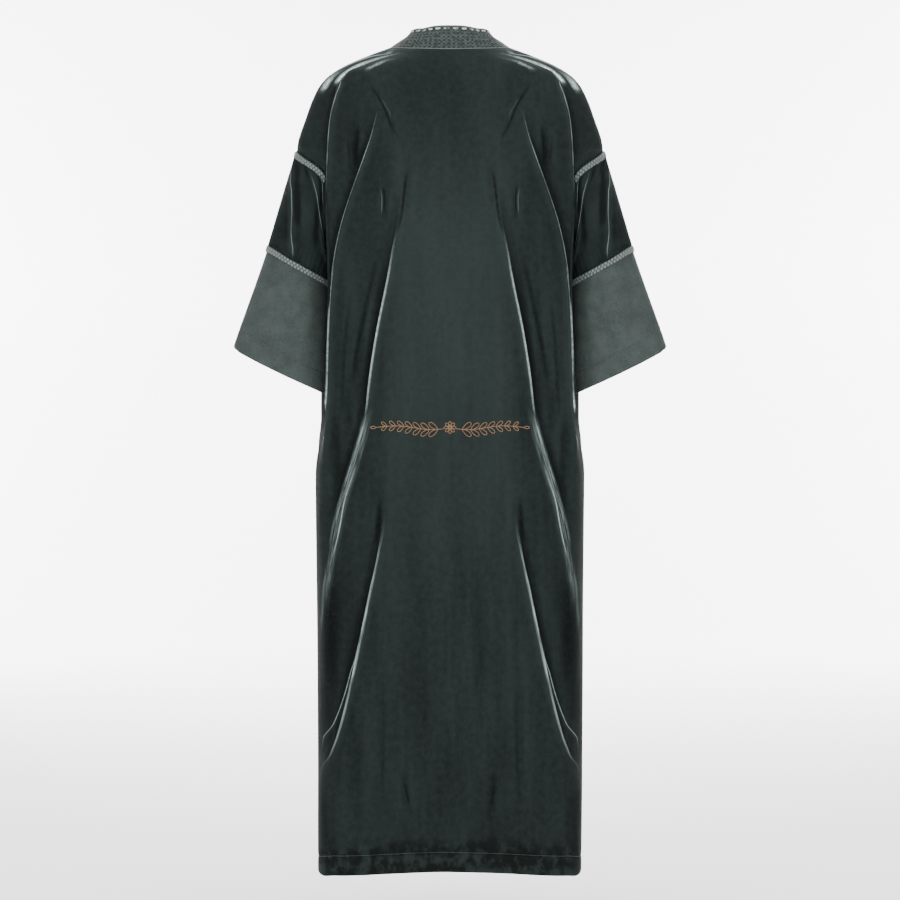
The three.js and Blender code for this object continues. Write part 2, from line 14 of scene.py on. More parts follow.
import bmesh
import bpy
import numpy as np
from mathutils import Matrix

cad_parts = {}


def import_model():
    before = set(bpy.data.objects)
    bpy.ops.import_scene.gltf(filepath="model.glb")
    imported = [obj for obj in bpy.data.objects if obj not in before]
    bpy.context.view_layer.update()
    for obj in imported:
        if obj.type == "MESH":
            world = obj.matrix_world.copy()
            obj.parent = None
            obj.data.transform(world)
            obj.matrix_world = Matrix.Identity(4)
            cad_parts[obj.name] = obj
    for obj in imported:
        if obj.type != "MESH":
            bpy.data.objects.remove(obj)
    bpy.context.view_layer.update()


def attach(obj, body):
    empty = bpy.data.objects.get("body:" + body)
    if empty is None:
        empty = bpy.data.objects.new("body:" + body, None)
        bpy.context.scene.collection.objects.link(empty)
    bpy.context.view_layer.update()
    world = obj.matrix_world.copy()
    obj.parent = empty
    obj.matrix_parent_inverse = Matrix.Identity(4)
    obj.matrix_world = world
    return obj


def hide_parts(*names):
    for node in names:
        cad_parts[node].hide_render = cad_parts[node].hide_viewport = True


LOG = logging.getLogger("abaya")
MM = 0.001
Array = np.ndarray
Point = tuple[float, float, float]


class Side(Enum):
    """The half of the body that a panel lies on, as the sign of its depth."""

    BACK = 1
    FRONT = -1


class Hand(Enum):
    """The wearer's left or right, as the sign of X."""

    LEFT = 1
    RIGHT = -1

    @property
    def word(self) -> str:
        """The ending of a piece's name.

        Returns:
            "left" or "right".
        """
        return self.name.lower()


# ---------------------------------------------------------------- sizes, in millimetres

# The horizontal sections of the body, from the neck down. back and front are the depths at the middle.
# crest_x and crest_y are where the back folds round to the side, front_crest how far out that is in front.
# leave and arrive are the angles at which the cloth goes on from there and meets the seam, seam_x out.
SECTION_COLUMNS = ("drop", "back", "front", "crest_x", "crest_y", "front_crest", "leave", "seam_x", "arrive")
SECTIONS = (
    (6, 64, 35, 62, 50, 62, 34, 98, 90),
    (20, 76, 48, 86, 60, 86, 34, 136, 90),
    (40, 88, 66, 124, 70, 118, 36, 179, 90),
    (60, 97, 78, 162, 74, 140, 38, 206, 90),
    (80, 103, 88, 178, 78, 156, 42, 220, 90),
    (120, 111, 103, 191, 81, 170, 44, 236, 90),
    (176, 117, 117, 198, 86, 184, 50, 251.5, 90),
    (217, 119, 125, 201, 88, 194, 64, 211, 60),
    (250, 120, 130, 202, 90, 200, 84, 199, 80),
    (300, 121, 133, 202, 91, 205, 98, 191, 96),
    (345, 121, 132, 202, 91, 208, 102, 184, 90),
    (450, 121, 130, 203, 91, 213, 104, 183, 90),
    (582, 123, 132, 208, 91, 218, 100, 186, 90),
    (650, 124, 133, 207, 93, 216, 70, 212, 90),
    (710, 125, 134, 203, 96, 206, 54, 220, 90),
    (1000, 129, 138, 193, 102, 194, 44, 218, 90),
    (1341, 134, 143, 188, 110, 188, 42, 215, 90),
)
NECK, ARMHOLE_TOP, UNDERARM, HEM = 6.0, 176.0, 345.0, 1341.0
STEEPEST_CROWN = 34.0  # degrees by which the cloth may fall before the crest
HEM_DIP, DIP_FROM = 19.0, 900.0  # how much lower the hem is at the sides, and where the rows begin to dip
NAPE_DIP, NAPE_TO = 12.0, 60.0  # how much lower the neckline is at the nape, and where the rows are level
FRONT_TOP_END = 12.4  # the drop at which the front's top row ends, on the shoulder seam

# Half of the armhole, from its top to the underarm: out, behind the middle, down.
ARMHOLE = (
    (251.5, 0, 176),
    (247, 33, 182),
    (231, 57, 195),
    (212, 67, 209),
    (202, 66, 221),
    (194, 51, 268),
    (189, 30, 313),
    (184, 0, 345),
)
# How far out from the middle the edge of a front runs, at each drop.
FRONT_EDGE = ((6, 98), (60, 87), (120, 74), (200, 61), (300, 51), (345, 50), (1341, 50))

VELVET, CUFF_CLOTH, SEAM = 2.0, 1.6, 0.3  # the cloths' thickness and the space between two pieces
HEM_STITCH = 31.0  # from the hem's edge to its stitches
HEM_CORNER, HEM_CORNER_RISE = 14.0, 28.0  # the corner's radius at each side seam, and how far up it reaches
CUFF_STITCH = 33.0  # from the cuff's edge to its stitches
CUFF_CORNER = 7.0  # how far the cuff's outer corner is rounded off


@dataclass(frozen=True)
class Ring:
    """A ring of the sleeve, from its outer side to the side next to the body."""

    outer: tuple[float, float]  # (out, down)
    inner: tuple[float, float]
    depth: float  # half of it, from front to back
    forward: float  # how far its middle lies in front of the shoulder
    droop: float  # how much lower its inner end hangs
    sag: float  # how much lower its front and back hang


CUFF_SEAM = Ring((300, 337), (198, 393), 54, 3, 4, 4)
CUFF_HEM = Ring((356, 502), (198, 574), 46, 8, 5, 5)

BRAID_START, BRAID_WIDTH = 1.0, 12.0  # from the armhole's seam to the braid, and its width
BRAID_PITCH, BRAID_STEP, BRAID_LINES = 6.0, 0.62, 19  # from bead to bead, and how finely it is divided
BRAID_END = 201.5  # how far out the armhole's braid ends, under the arm
ARM_RADIUS, CUFF_RADIUS = 58.0, 62.0  # on the mean, by which turns become lengths
SLEEVE_LONG, CUFF_LONG = 180.0, 190.0  # on the mean, by which shares become lengths
HEM_THREAD_LIFT, CUFF_THREAD_LIFT = 0.35, 0.3  # how far off the cloth the stitches' middle lies
UPPER_ROW, ARM_ROW, LONG_ROW, HEM_ROW = 5.4, 5.2, 10.2, 2.2  # the heights of the cloth's rows
ARMHOLE_PLEATS, CUFF_PLEATS = 31, 37  # small gathers round the sleeve

# The band's section: distance from the seam, how far it is raised, how thick it is.
BAND_LINES = ((0, 0, 3.0), (16, 0.7, 3.0), (35, 0.2, 3.0), (39, 1.4, 4.4), (43, 0, 1.8))
BAND_WIDTH = 43.0
BAND_ROW = 3.1  # the height of a woven row, which is half a lozenge
BAND_DASH = 16.0  # from one light dash to the next
CORD_TWIST = (2.1, 1.6)  # radians to the millimetre, along and across the corded edge
STAND_BACK, STAND_SIDE = math.radians(25), math.radians(15)  # how much steeper than the cloth it stands
BAND_BEFORE_FRONT = 133.0  # the length of band from the nape to the shoulder seam


@dataclass(frozen=True)
class Fold:
    """A long fold: the cloth drops on the outer side of its crest and comes back over reach."""

    side: Side
    depth: float
    flank: float  # the width over which the cloth drops
    reach: float
    path: tuple[tuple[float, float], ...]  # (out, drop)


FOLDS = (
    Fold(Side.BACK, 6.5, 9, 26,
         ((84, 10), (116, 33), (152, 46), (170, 56), (179, 68), (187, 99), (193, 126), (197, 163),
          (200, 230))),
    Fold(Side.BACK, 9.0, 9, 30,
         ((114, 116), (126, 162), (134, 186), (153, 238), (176, 308), (187, 360), (193, 409), (197, 491),
          (200, 587), (213, 700))),
    Fold(Side.BACK, 11.0, 10, 38,
         ((73, 215), (86, 315), (93, 350), (99, 385), (119, 485), (129, 550), (137, 615), (147, 650),
          (163, 688), (179, 735), (194, 790))),
    Fold(Side.BACK, 6.0, 9, 24, ((140, 640), (148, 684), (166, 724), (176, 770), (192, 841), (209, 892))),
    Fold(Side.BACK, 11.0, 10, 38,
         ((106, 735), (113, 820), (128, 892), (146, 978), (160, 1042), (178, 1111), (192, 1149),
          (211, 1189))),
    Fold(Side.BACK, 4.0, 8, 20, ((152, 990), (161, 1028), (171, 1063), (186, 1101), (213, 1154))),
    Fold(Side.FRONT, 8.0, 10, 34, ((96, 250), (112, 420), (124, 600), (150, 780), (182, 930))),
    Fold(Side.FRONT, 10.0, 10, 40, ((88, 560), (104, 760), (128, 960), (168, 1140), (206, 1290))),
    Fold(Side.FRONT, 4.5, 9, 20, ((150, 90), (138, 150), (122, 215), (112, 290))),
    Fold(Side.FRONT, 6.0, 10, 24, ((116, 33), (146, 50), (164, 80), (180, 130), (192, 200), (198, 240))),
)


@dataclass(frozen=True)
class Ridge:
    """A line along which a painted highlight stands for the light caught by the pile, or painted shade for
    pile lying dark.
    """

    path: tuple[tuple[float, float], ...]  # (out, drop)
    shine: tuple[float, ...]  # evenly spread between the two ends: how bright its painted highlight is, or below 0 how dark its painted shade is
    inner: float = 1.5  # how far it reaches towards the middle
    outer: float = 1.5  # and away from it
    shade: float = 0.0  # how dark the painted shade is just beyond it
    brushed: float = 0.3  # how much it breaks up into streaks


# Ridges of painted highlight (above 0) and painted shade (below 0) on the back.
BACK_RIDGES = (
    Ridge(((84, 12), (108, 22), (127, 29), (150, 39), (166, 50), (176, 61), (182, 76)),
          (0.6, 0.9, 1.3, 1.8, 1.5), 9.0, 10.0, 0.3, 0.6),
    Ridge(((176, 61), (186, 99), (193, 126), (197, 163), (199, 208), (201, 262)), (0.9, 0.4, 0.5, 0.4, 0.4),
          1.4, 1.0, 0.3, 0.8),
    Ridge(((168, 40), (180, 48), (194, 60), (203, 74), (209, 92)), (0.2, 0.6, 1.1, 0.2), 8.0, 9.0, 0.0, 0.4),
    Ridge(((94, 8), (132, 22), (174, 40), (200, 58), (216, 80)), (0.5, 0.45, 0.3, 0.1), 7.0, 7.0, 0.0, 0.25),
    Ridge(((84, 24), (104, 33), (120, 44), (134, 60)), (0.15, 0.4, 0.2), 9.0, 9.0, 0.0, 0.7),
    Ridge(((112, 106), (118, 130), (126, 162), (134, 186), (153, 238), (165, 272), (176, 308), (187, 360),
           (192, 409)), (0.1, 0.3, 0.6, 0.3, 0.35, 0.5, 0.5, 0.5), 1.2, 1.2, 0.6, 0.5),
    Ridge(((187, 360), (192, 409), (196, 491), (198, 560), (200, 600), (206, 645), (213, 700)),
          (0.6, 0.55, 0.6, 0.6, 1.0, 0.7), 1.3, 1.3, 0.5, 0.6),
    Ridge(((82, 290), (86, 315), (93, 350), (99, 385), (119, 485), (129, 550), (137, 615), (143, 640)),
          (0.1, 0.4, 0.8, 0.9, 1.0, 1.0, 0.8, 0.4), 3.8, 1.3, 0.8, 0.45),
    Ridge(((134, 590), (141, 630), (150, 664), (162, 704), (176, 750), (188, 800), (194, 850)),
          (0.2, 0.26, 0.24, 0.2, 0.15), 16.0, 5.0, 0.6, 1.0),
    Ridge(((134, 600), (142, 640), (152, 672), (164, 708), (176, 748)), (0.5, 0.4, 0.25), 2.0, 2.0, 0.0, 0.8),
    Ridge(((146, 668), (152, 695), (161, 724), (169, 748), (178, 796), (188, 838), (196, 866)),
          (0.3, 0.6, 0.9, 0.8, 0.35), 1.8, 1.3, 0.5, 0.4),
    Ridge(((186, 800), (194, 860), (202, 940)), (0.14, 0.12, 0.06), 10.0, 8.0, 0.0, 1.0),
    Ridge(((200, 840), (206, 920), (209, 990)), (0.12, 0.08), 5.0, 4.0, 0.0, 1.0),
    Ridge(((106, 765), (113, 820), (128, 892), (146, 978), (160, 1042), (178, 1111), (192, 1149),
           (211, 1189)), (0.2, 0.4, 0.6, 0.8, 0.75, 0.6, 0.5, 0.35), 4.4, 1.3, 0.7, 0.8),
    Ridge(((150, 980), (161, 1028), (171, 1063), (186, 1101), (213, 1154)), (0.6, 0.6, 0.5, 0.5),
          1.4, 1.1, 0.3, 0.4),
    Ridge(((204, 560), (208, 620), (213, 680)), (0.8, 1.0, 0.5), 3.0, 3.0, 0.0, 0.8),
    Ridge(((133, 66), (127, 82), (113, 104), (106, 118), (95, 146), (82, 180)), (-0.9, -1.2, -1.0, -0.8),
          1.8, 2.2, 0.0, 0.3),
    Ridge(((112, 96), (105, 112), (95, 140)), (0.04, 0.05), 2.0, 1.6, 0.0, 0.3),
    Ridge(((108, 236), (105, 262), (106, 300)), (-1.1, -1.2, -0.8), 1.8, 2.2, 0.0, 0.3),
    Ridge(((112, 244), (109, 266), (110, 292)), (0.12, 0.14), 1.4, 1.2, 0.0, 0.3),
    Ridge(((145, 130), (148, 160), (151, 190), (150, 228)), (-0.4, -0.8, -1.0, -0.8), 5.0, 7.0, 0.0, 0.3),
    Ridge(((166, 150), (163, 180), (160, 215)), (-0.4, -0.6), 3.0, 4.0, 0.0, 0.5),
    Ridge(((66, 200), (71, 240), (79, 300), (90, 345)), (-0.6, -1.0, -0.9, -0.5), 3.0, 5.0, 0.0, 0.4),
    Ridge(((107, 320), (119, 367), (138, 454), (152, 528), (159, 600)), (-0.5, -0.8, -0.9, -0.7),
          7.0, 7.0, 0.0, 0.5),
    Ridge(((158, 380), (167, 475), (174, 587), (178, 660)), (-0.4, -0.7, -0.5), 6.0, 6.0, 0.0, 0.5),
    Ridge(((112, 730), (114, 785), (120, 840)), (-0.8, -1.0, -0.5), 5.0, 7.0, 0.0, 0.5),
    Ridge(((186, 820), (192, 940), (198, 1060), (204, 1150)), (-0.6, -1.0, -0.8, -0.5), 30.0, 22.0, 0.0, 0.4),
    Ridge(((72, 1188), (66, 1240)), (-0.8, -0.9), 3.0, 3.0, 0.0, 0.4),
    Ridge(((206, 1180), (203, 1260), (202, 1330)), (-0.6, -0.7, -0.6), 12.0, 12.0, 0.0, 0.5),
    Ridge(((110, 1010), (106, 1100), (108, 1220)), (-0.3, -0.4), 5.0, 5.0, 0.0, 0.5),
)
# Painted light down the middle of the back: share of the length, strength.
BACK_MIDDLE_LIGHT = ((0.0, 0.0), (0.07, 0.02), (0.12, 0.1), (0.18, 0.22), (0.26, 0.36), (0.36, 0.35), (0.46, 0.24),
            (0.56, 0.16), (0.68, 0.04), (0.95, 0.0))
# Ridges of painted highlight and painted shade on each front.
FRONT_RIDGES = (
    Ridge(((96, 250), (112, 420), (124, 600), (150, 780), (182, 930)), (0.3, 0.8, 0.9, 0.5),
          2.4, 1.5, 0.5, 0.3),
    Ridge(((88, 560), (104, 760), (128, 960), (168, 1140), (206, 1290)), (0.2, 0.7, 0.9, 0.6),
          2.4, 1.5, 0.5, 0.3),
    Ridge(((150, 90), (138, 150), (122, 215), (112, 290)), (0.3, 0.5, 0.3), 1.6, 1.6, 0.3, 0.5),
    Ridge(((116, 33), (146, 50), (164, 80), (180, 130), (192, 200), (198, 240)), (1.3, 1.0, 0.6, 0.4),
          3.0, 3.0, 0.3, 0.6),
    Ridge(((168, 40), (180, 48), (194, 60), (203, 74), (209, 92)), (0.1, 0.35, 0.5, 0.0), 8.0, 9.0, 0.0, 0.3),
    Ridge(((94, 8), (132, 22), (174, 40), (200, 58), (216, 80)), (0.4, 0.4, 0.25, 0.0), 7.0, 7.0, 0.0, 0.25),
)
# The same on a sleeve, as (turn in degrees, share of the length in hundredths).
SLEEVE_RIDGES = (
    Ridge(((17, 5), (20, 17), (36, 33), (49, 50), (62, 72), (79, 98)), (0.5, 0.4, 0.25, 0.2, 0.35),
          1.3, 1.3, 0.4, 0.5),
    Ridge(((56, 7), (62, 13), (77, 24), (99, 34), (122, 46), (140, 66)), (0.2, 0.4, 0.4, 0.3),
          2.0, 2.0, 0.4, 0.5),
    Ridge(((70, 4), (80, 11), (92, 18), (104, 24)), (0.2, 0.3, 0.1), 2.4, 2.4, 0.3, 0.5),
    Ridge(((64, 4), (72, 10), (86, 18), (100, 26)), (-0.9, -1.0, -0.4), 3.0, 3.0, 0.0, 0.4),
    Ridge(((28, 2), (34, 10), (46, 22)), (-0.8, -0.6), 3.0, 3.0, 0.0, 0.4),
    Ridge(((46, 3), (52, 12), (66, 24)), (-0.7, -0.6), 3.0, 3.0, 0.0, 0.4),
)

# Soft troughs (depth above 0) and swells (below 0): side, out and drop of both ends, depth, width.
CREASE_COLUMNS = ("side", "x0", "drop0", "x1", "drop1", "depth", "width")
CREASES = (
    (Side.BACK, 152, 150, 158, 226, 3.6, 9),
    (Side.BACK, 141, 118, 145, 190, -1.6, 9),
    (Side.BACK, 131, 76, 111, 110, 1.3, 4),
    (Side.BACK, 111, 110, 84, 170, 1.1, 3.5),
    (Side.BACK, 106, 246, 105, 306, 2.2, 5),
    (Side.BACK, 110, 236, 112, 300, -1.2, 6),
    (Side.BACK, 66, 205, 80, 320, 3.4, 9),
    (Side.BACK, 90, 520, 84, 860, 1.8, 16),
    (Side.BACK, 98, 700, 96, 860, -1.8, 12),
    (Side.BACK, 160, 430, 163, 620, 3.6, 10),
    (Side.BACK, 140, 400, 152, 600, 2.6, 8),
    (Side.BACK, 176, 420, 182, 600, 1.8, 8),
    (Side.BACK, 190, 610, 184, 760, 4.0, 10),
    (Side.BACK, 172, 560, 166, 640, 2.4, 8),
    (Side.BACK, 104, 746, 110, 830, 3.0, 8),
    (Side.BACK, 204, 1030, 202, 1160, 4.0, 10),
    (Side.BACK, 188, 940, 192, 1040, 2.0, 9),
    (Side.BACK, 196, 1200, 194, 1316, 3.6, 11),
    (Side.BACK, 112, 1010, 111, 1250, 2.0, 10),
    (Side.BACK, 74, 1180, 66, 1250, 2.4, 7),
    (Side.BACK, 96, 900, 92, 1080, -1.4, 14),
    (Side.BACK, 52, 900, 46, 1150, 1.0, 14),
    (Side.BACK, 26, 150, 30, 620, -0.9, 16),
    (Side.BACK, 150, 1100, 148, 1290, 1.4, 14),
    (Side.BACK, 168, 1283, 142, 1276, 1.0, 4),
    (Side.BACK, 118, 1298, 96, 1300, 1.1, 4),
    (Side.BACK, 60, 1296, 40, 1303, 0.9, 4),
    (Side.FRONT, 150, 320, 152, 560, 3.0, 12),
    (Side.FRONT, 176, 500, 170, 760, 3.0, 12),
    (Side.FRONT, 84, 300, 82, 560, -1.8, 12),
    (Side.FRONT, 74, 700, 78, 1100, 1.8, 14),
    (Side.FRONT, 190, 980, 186, 1250, 3.0, 12),
    (Side.FRONT, 140, 1040, 136, 1260, -1.8, 12),
    (Side.FRONT, 112, 60, 100, 150, 1.6, 7),
)


# ---------------------------------------------------------------- curves


def smoothstep(value: Array, low: float, high: float) -> Array:
    """A smooth rise from 0 at low to 1 at high.

    Args:
        value: Where to read it.
        low: Where the rise begins.
        high: Where it ends.

    Returns:
        The rise, between 0 and 1.
    """
    t = np.clip((np.asarray(value, float) - low) / (high - low), 0, 1)
    return t * t * (3 - 2 * t)


def smooth_curve(xs: Sequence[float], ys: Sequence[float], x: Array) -> Array:
    """A smooth curve through the points (xs, ys), with no overshoot between them.

    Args:
        xs: Rising positions.
        ys: The value at each position.
        x: Where to read the curve.

    Returns:
        The curve's values at x.
    """
    px, py = np.asarray(xs, float), np.asarray(ys, float)
    slope = np.diff(py) / np.diff(px)
    before, after = np.r_[slope[0], slope], np.r_[slope, slope[-1]]
    product = before * after
    bend = np.where(product <= 0, 0, 2 * product / np.where(product <= 0, 1, before + after))
    i = np.clip(np.searchsorted(px, x, side="right") - 1, 0, len(px) - 2)
    width = px[i + 1] - px[i]
    t = np.clip((x - px[i]) / width, 0, 1)
    rise = t * t * (3 - 2 * t)
    return py[i] * (1 - rise) + py[i + 1] * rise + width * t * (1 - t) * (bend[i] * (1 - t) - bend[i + 1] * t)


def unit(vectors: Array) -> Array:
    """Vectors of length 1.

    Args:
        vectors: Vectors along the last axis.

    Returns:
        The same directions, of length 1.
    """
    return vectors / np.maximum(np.linalg.norm(vectors, axis=-1, keepdims=True), 1e-9)


def grid_normals(grid: Array, outwards: int, around: bool = False) -> Array:
    """The outward normals of a grid of points.

    Args:
        grid: Points as rows by columns by 3.
        outwards: 1 or -1, the way round of the grid.
        around: True if each row closes on itself.

    Returns:
        A unit normal for each point.
    """
    if around:
        across = np.roll(grid, -1, axis=1) - np.roll(grid, 1, axis=1)
    else:
        across = np.gradient(grid, axis=1)
    return unit(np.cross(across, np.gradient(grid, axis=0))) * outwards


def running_mean(values: Array, reach: int) -> Array:
    """The mean of each value and its neighbours along a row.

    Args:
        values: Rows by columns.
        reach: How many neighbours on each side.

    Returns:
        The means.
    """
    padded = np.pad(values, ((0, 0), (reach, reach)), mode="edge")
    sums = np.cumsum(np.pad(padded, ((0, 0), (1, 0))), axis=1)
    return (sums[:, 2 * reach + 1 :] - sums[:, : -2 * reach - 1]) / (2 * reach + 1)


def uneven(x: Array, y: Array, scale: tuple[float, float], seed: int, count: int = 9) -> Array:
    """A gentle unevenness, made of waves of different lengths.

    Args:
        x: Distance across, in millimetres.
        y: Distance down, in millimetres.
        scale: The typical length of a wave across and down.
        seed: Which unevenness.
        count: How many waves are added up.

    Returns:
        Values around 0, mostly between -1 and 1.
    """
    rng = np.random.default_rng(seed)
    total = np.zeros(np.broadcast(x, y).shape)
    for _ in range(count):
        fx, fy = rng.uniform(0.5, 1.7, 2) * (rng.choice([-1, 1]), 1)
        strength = rng.uniform(0.3, 0.9)
        bend = strength * np.sin(2 * math.pi * y / scale[1] * rng.uniform(0.3, 0.8) + rng.uniform(0, 6.3))
        wave = 2 * math.pi * (fx * x / scale[0] + fy * y / scale[1])
        total = total + np.sin(wave + bend + rng.uniform(0, 6.3))
    return total / math.sqrt(count * 2)


# ---------------------------------------------------------------- the body's form


def armhole_ring(count: int) -> Array:
    """Points round the armhole, equal lengths of seam apart, from its top round by the back.

    Args:
        count: How many points.

    Returns:
        The points as count by 3.
    """
    half = [np.array((out, deep, -drop), float) for out, deep, drop in ARMHOLE]
    points = np.array(half + [p * (1, -1, 1) for p in half[-2:0:-1]])
    fine = []
    t = np.linspace(0, 1, 60, endpoint=False)[:, None]
    for i in range(len(points)):
        p0, p1, p2, p3 = (points[(i + k) % len(points)] for k in (-1, 0, 1, 2))
        d0, d1, d2 = (math.sqrt(np.linalg.norm(b - a)) for a, b in ((p0, p1), (p1, p2), (p2, p3)))
        start = ((p1 - p0) / d0 - (p2 - p0) / (d0 + d1) + (p2 - p1) / d1) * d1
        end = ((p2 - p1) / d1 - (p3 - p1) / (d1 + d2) + (p3 - p2) / d2) * d1
        square, cube = 3 * (p2 - p1) - 2 * start - end, 2 * (p1 - p2) + start + end
        fine.append(p1 + start * t + square * t**2 + cube * t**3)
    loop = np.vstack(fine + [points[:1]])
    length = np.r_[0, np.cumsum(np.linalg.norm(np.diff(loop, axis=0), axis=1))]
    wanted = np.linspace(0, length[-1], count, endpoint=False)
    return np.stack([np.interp(wanted, length, loop[:, axis]) for axis in range(3)], axis=-1)


class BodyForm:
    """The form of the back and the fronts, worked out from the sections."""

    def __init__(self) -> None:
        """Reads the tables into arrays."""
        rows = np.array(SECTIONS, float)
        self.drops = rows[:, 0]
        self.columns = {name: rows[:, i] for i, name in enumerate(SECTION_COLUMNS)}
        half = armhole_ring(2000)[:1001]
        self.arm_drop, self.arm_x, self.arm_y = -half[:, 2], half[:, 0], half[:, 1]

    def section(self, drop: Array) -> dict[str, Array]:
        """The sizes of the sections at some drops.

        Args:
            drop: Depths below the origin.

        Returns:
            The table's columns and seam_y, each with drop's shape.
        """
        found = {name: smooth_curve(self.drops, column, drop) for name, column in self.columns.items()}
        inside = (drop > ARMHOLE_TOP) & (drop < UNDERARM)
        found["seam_x"] = np.where(inside, np.interp(drop, self.arm_drop, self.arm_x), found["seam_x"])
        found["seam_y"] = np.where(inside, np.interp(drop, self.arm_drop, self.arm_y), 0.0)
        return found

    def plain(self, drop: Array, side: Side, place: Array) -> Array:
        """Points of the cloth without its folds.

        Args:
            drop: Depths below the origin.
            side: Back or front.
            place: 0 at the middle, 1 at the crest and 2 at the seam; below 0 on the wearer's right.

        Returns:
            Points with a last axis of 3.
        """
        drop, signed = np.broadcast_arrays(np.asarray(drop, float), np.asarray(place, float))
        place = np.abs(signed)
        s = self.section(drop)
        back = side is Side.BACK
        middle = s["back"] if back else s["front"]
        crest_x = s["crest_x"] if back else s["front_crest"]
        crest_y = s["crest_y"] * middle / s["back"]
        dip = HEM_DIP * smoothstep(drop, DIP_FROM, HEM) * np.sin(place * math.pi / 4) ** 2
        dip = dip + NAPE_DIP * (1 - smoothstep(drop, NECK, NAPE_TO)) * (1 - (place / 2) ** 2)
        fall = np.tan(np.radians(np.minimum(s["leave"], STEEPEST_CROWN)))
        power = np.clip(fall * crest_x / (middle - crest_y), 2, 6)
        crown = np.minimum(place, 1)
        x_crown, y_crown = crest_x * crown, middle - (middle - crest_y) * crown**power
        t = np.clip(place - 1, 0, 1)
        span = np.hypot(s["seam_x"] - crest_x, s["seam_y"] - crest_y)
        leave, arrive = np.radians(s["leave"]), np.radians(s["arrive"])
        ax, ay = crest_x + np.cos(leave) * span * 0.32, crest_y - np.sin(leave) * span * 0.32
        bx, by = s["seam_x"] - np.cos(arrive) * span * 0.42, s["seam_y"] + np.sin(arrive) * span * 0.42
        weights = ((1 - t) ** 3, 3 * t * (1 - t) ** 2, 3 * t * t * (1 - t), t**3)
        x_flank = sum(w * v for w, v in zip(weights, (crest_x, ax, bx, s["seam_x"])))
        y_flank = sum(w * v for w, v in zip(weights, (crest_y, ay, by, s["seam_y"])))
        x, y = np.where(place <= 1, x_crown, x_flank), np.where(place <= 1, y_crown, y_flank)
        return np.stack([np.where(signed < 0, -x, x), side.value * y, -drop - dip], axis=-1)

    def depth(self, x: Array, drop: Array, side: Side, place: Array) -> Array:
        """How far the folds and creases let the cloth in.

        Args:
            x: Distance out from the middle, with its sign.
            drop: Depth below the origin.
            side: Back or front.
            place: The place on the section.

        Returns:
            Depths in millimetres, below 0 where the cloth stands out.
        """
        out = np.abs(x)
        total = np.zeros(out.shape)
        for fold in (f for f in FOLDS if f.side is side):
            xs, ds = zip(*fold.path)
            slope = (xs[-1] - xs[0]) / (ds[-1] - ds[0])
            across = (out - smooth_curve(ds, xs, drop)) / math.hypot(1, min(slope, 1.2))
            length = ds[-1] - ds[0]
            begin = smoothstep(drop, ds[0], ds[0] + 0.2 * length)
            end = 1 - smoothstep(drop, ds[-1] - 0.15 * length, ds[-1] + 15)
            drop_in = smoothstep(across, -fold.flank * 0.35, fold.flank * 0.65)
            drop_in = drop_in * np.exp(-np.maximum(across, 0) / fold.reach)
            swell = -0.16 * np.exp(-((across / fold.flank + 0.3) ** 2))
            total += fold.depth * begin * end * (drop_in + swell)
        for row in CREASES:
            crease = dict(zip(CREASE_COLUMNS, row))
            if crease["side"] is not side:
                continue
            start = np.array((crease["x0"], crease["drop0"]), float)
            run = np.array((crease["x1"], crease["drop1"]), float) - start
            long = np.hypot(*run)
            along = ((out - start[0]) * run[0] + (drop - start[1]) * run[1]) / long
            across = ((out - start[0]) * run[1] - (drop - start[1]) * run[0]) / long
            begin = smoothstep(along, -0.15 * long, 0.3 * long)
            end = 1 - smoothstep(along, 0.7 * long, 1.15 * long)
            total += crease["depth"] * begin * end * np.exp(-((across / crease["width"]) ** 2))
        near_seam = 1 - smoothstep(place, 1.35, 1.85)
        streaks = 0.4 * uneven(x, drop, (46, 900), 3) + 0.15 * uneven(x, drop, (19, 420), 5)
        low = smoothstep(drop, 120, 400)
        ripple = 1.1 * uneven(x, drop, (130, 700), 8) * low
        return total * near_seam + (streaks * low + ripple) * (1 - smoothstep(place, 1.6, 2))

    def surface(self, drop: Array, side: Side, place: Array) -> tuple[Array, Array, Array]:
        """The folded cloth, on a grid.

        Args:
            drop: Rows by 1 of depths.
            side: Back or front.
            place: Rows by columns, or 1 by columns, of places.

        Returns:
            The points and their outward normals, rows by columns by 3, and the painted shade laid on the
            cloth there.
        """
        points = self.plain(drop, side, place)
        normals = grid_normals(points, side.value)
        depth = self.depth(points[..., 0], np.broadcast_to(drop, points.shape[:2]), side, np.abs(place))
        hem = HEM - np.broadcast_to(drop, depth.shape)
        groove = 1.0 * np.exp(-(((hem - HEM_STITCH) / 2.2) ** 2))
        pucker = 0.7 * uneven(points[..., 0], hem, (17, 90), 21) * np.exp(-np.abs(hem - HEM_STITCH) / 13)
        depth = depth + groove + pucker * (hem > 3)
        moved = points - normals * depth[..., None]
        corner = np.clip((np.abs(points[..., 0]) - self.columns["seam_x"][-1]) / HEM_CORNER + 1, 0, 1)
        moved[..., 2] += HEM_CORNER * (1 - np.sqrt(1 - corner**2)) * (1 - smoothstep(hem, 0, HEM_CORNER_RISE))
        out = np.abs(points[..., 0])
        # Painted shade on the outward-dropping flanks and in the valleys, and painted light on the swells.
        steep = np.gradient(depth, axis=1) * np.sign(np.gradient(out, axis=1))
        steep = steep / np.maximum(np.linalg.norm(np.gradient(points, axis=1), axis=-1), 0.5)
        valley = depth - running_mean(depth, 6)
        painted_shade = np.clip(steep * 0.8, 0, 0.8) + np.clip(valley / 2.4, -0.4, 0.7)
        # Painted shade in an uneven band just above the hem's stitches.
        above = hem - HEM_STITCH
        shade_above_stitches = np.exp(-(((above - 5) / 4) ** 2)) + 0.5 * np.exp(-(((above - 15) / 7) ** 2))
        painted_shade = painted_shade + np.clip(shade_above_stitches * (0.4 + 0.7 * uneven(points[..., 0], hem, (34, 120), 23)), 0, 1.2)
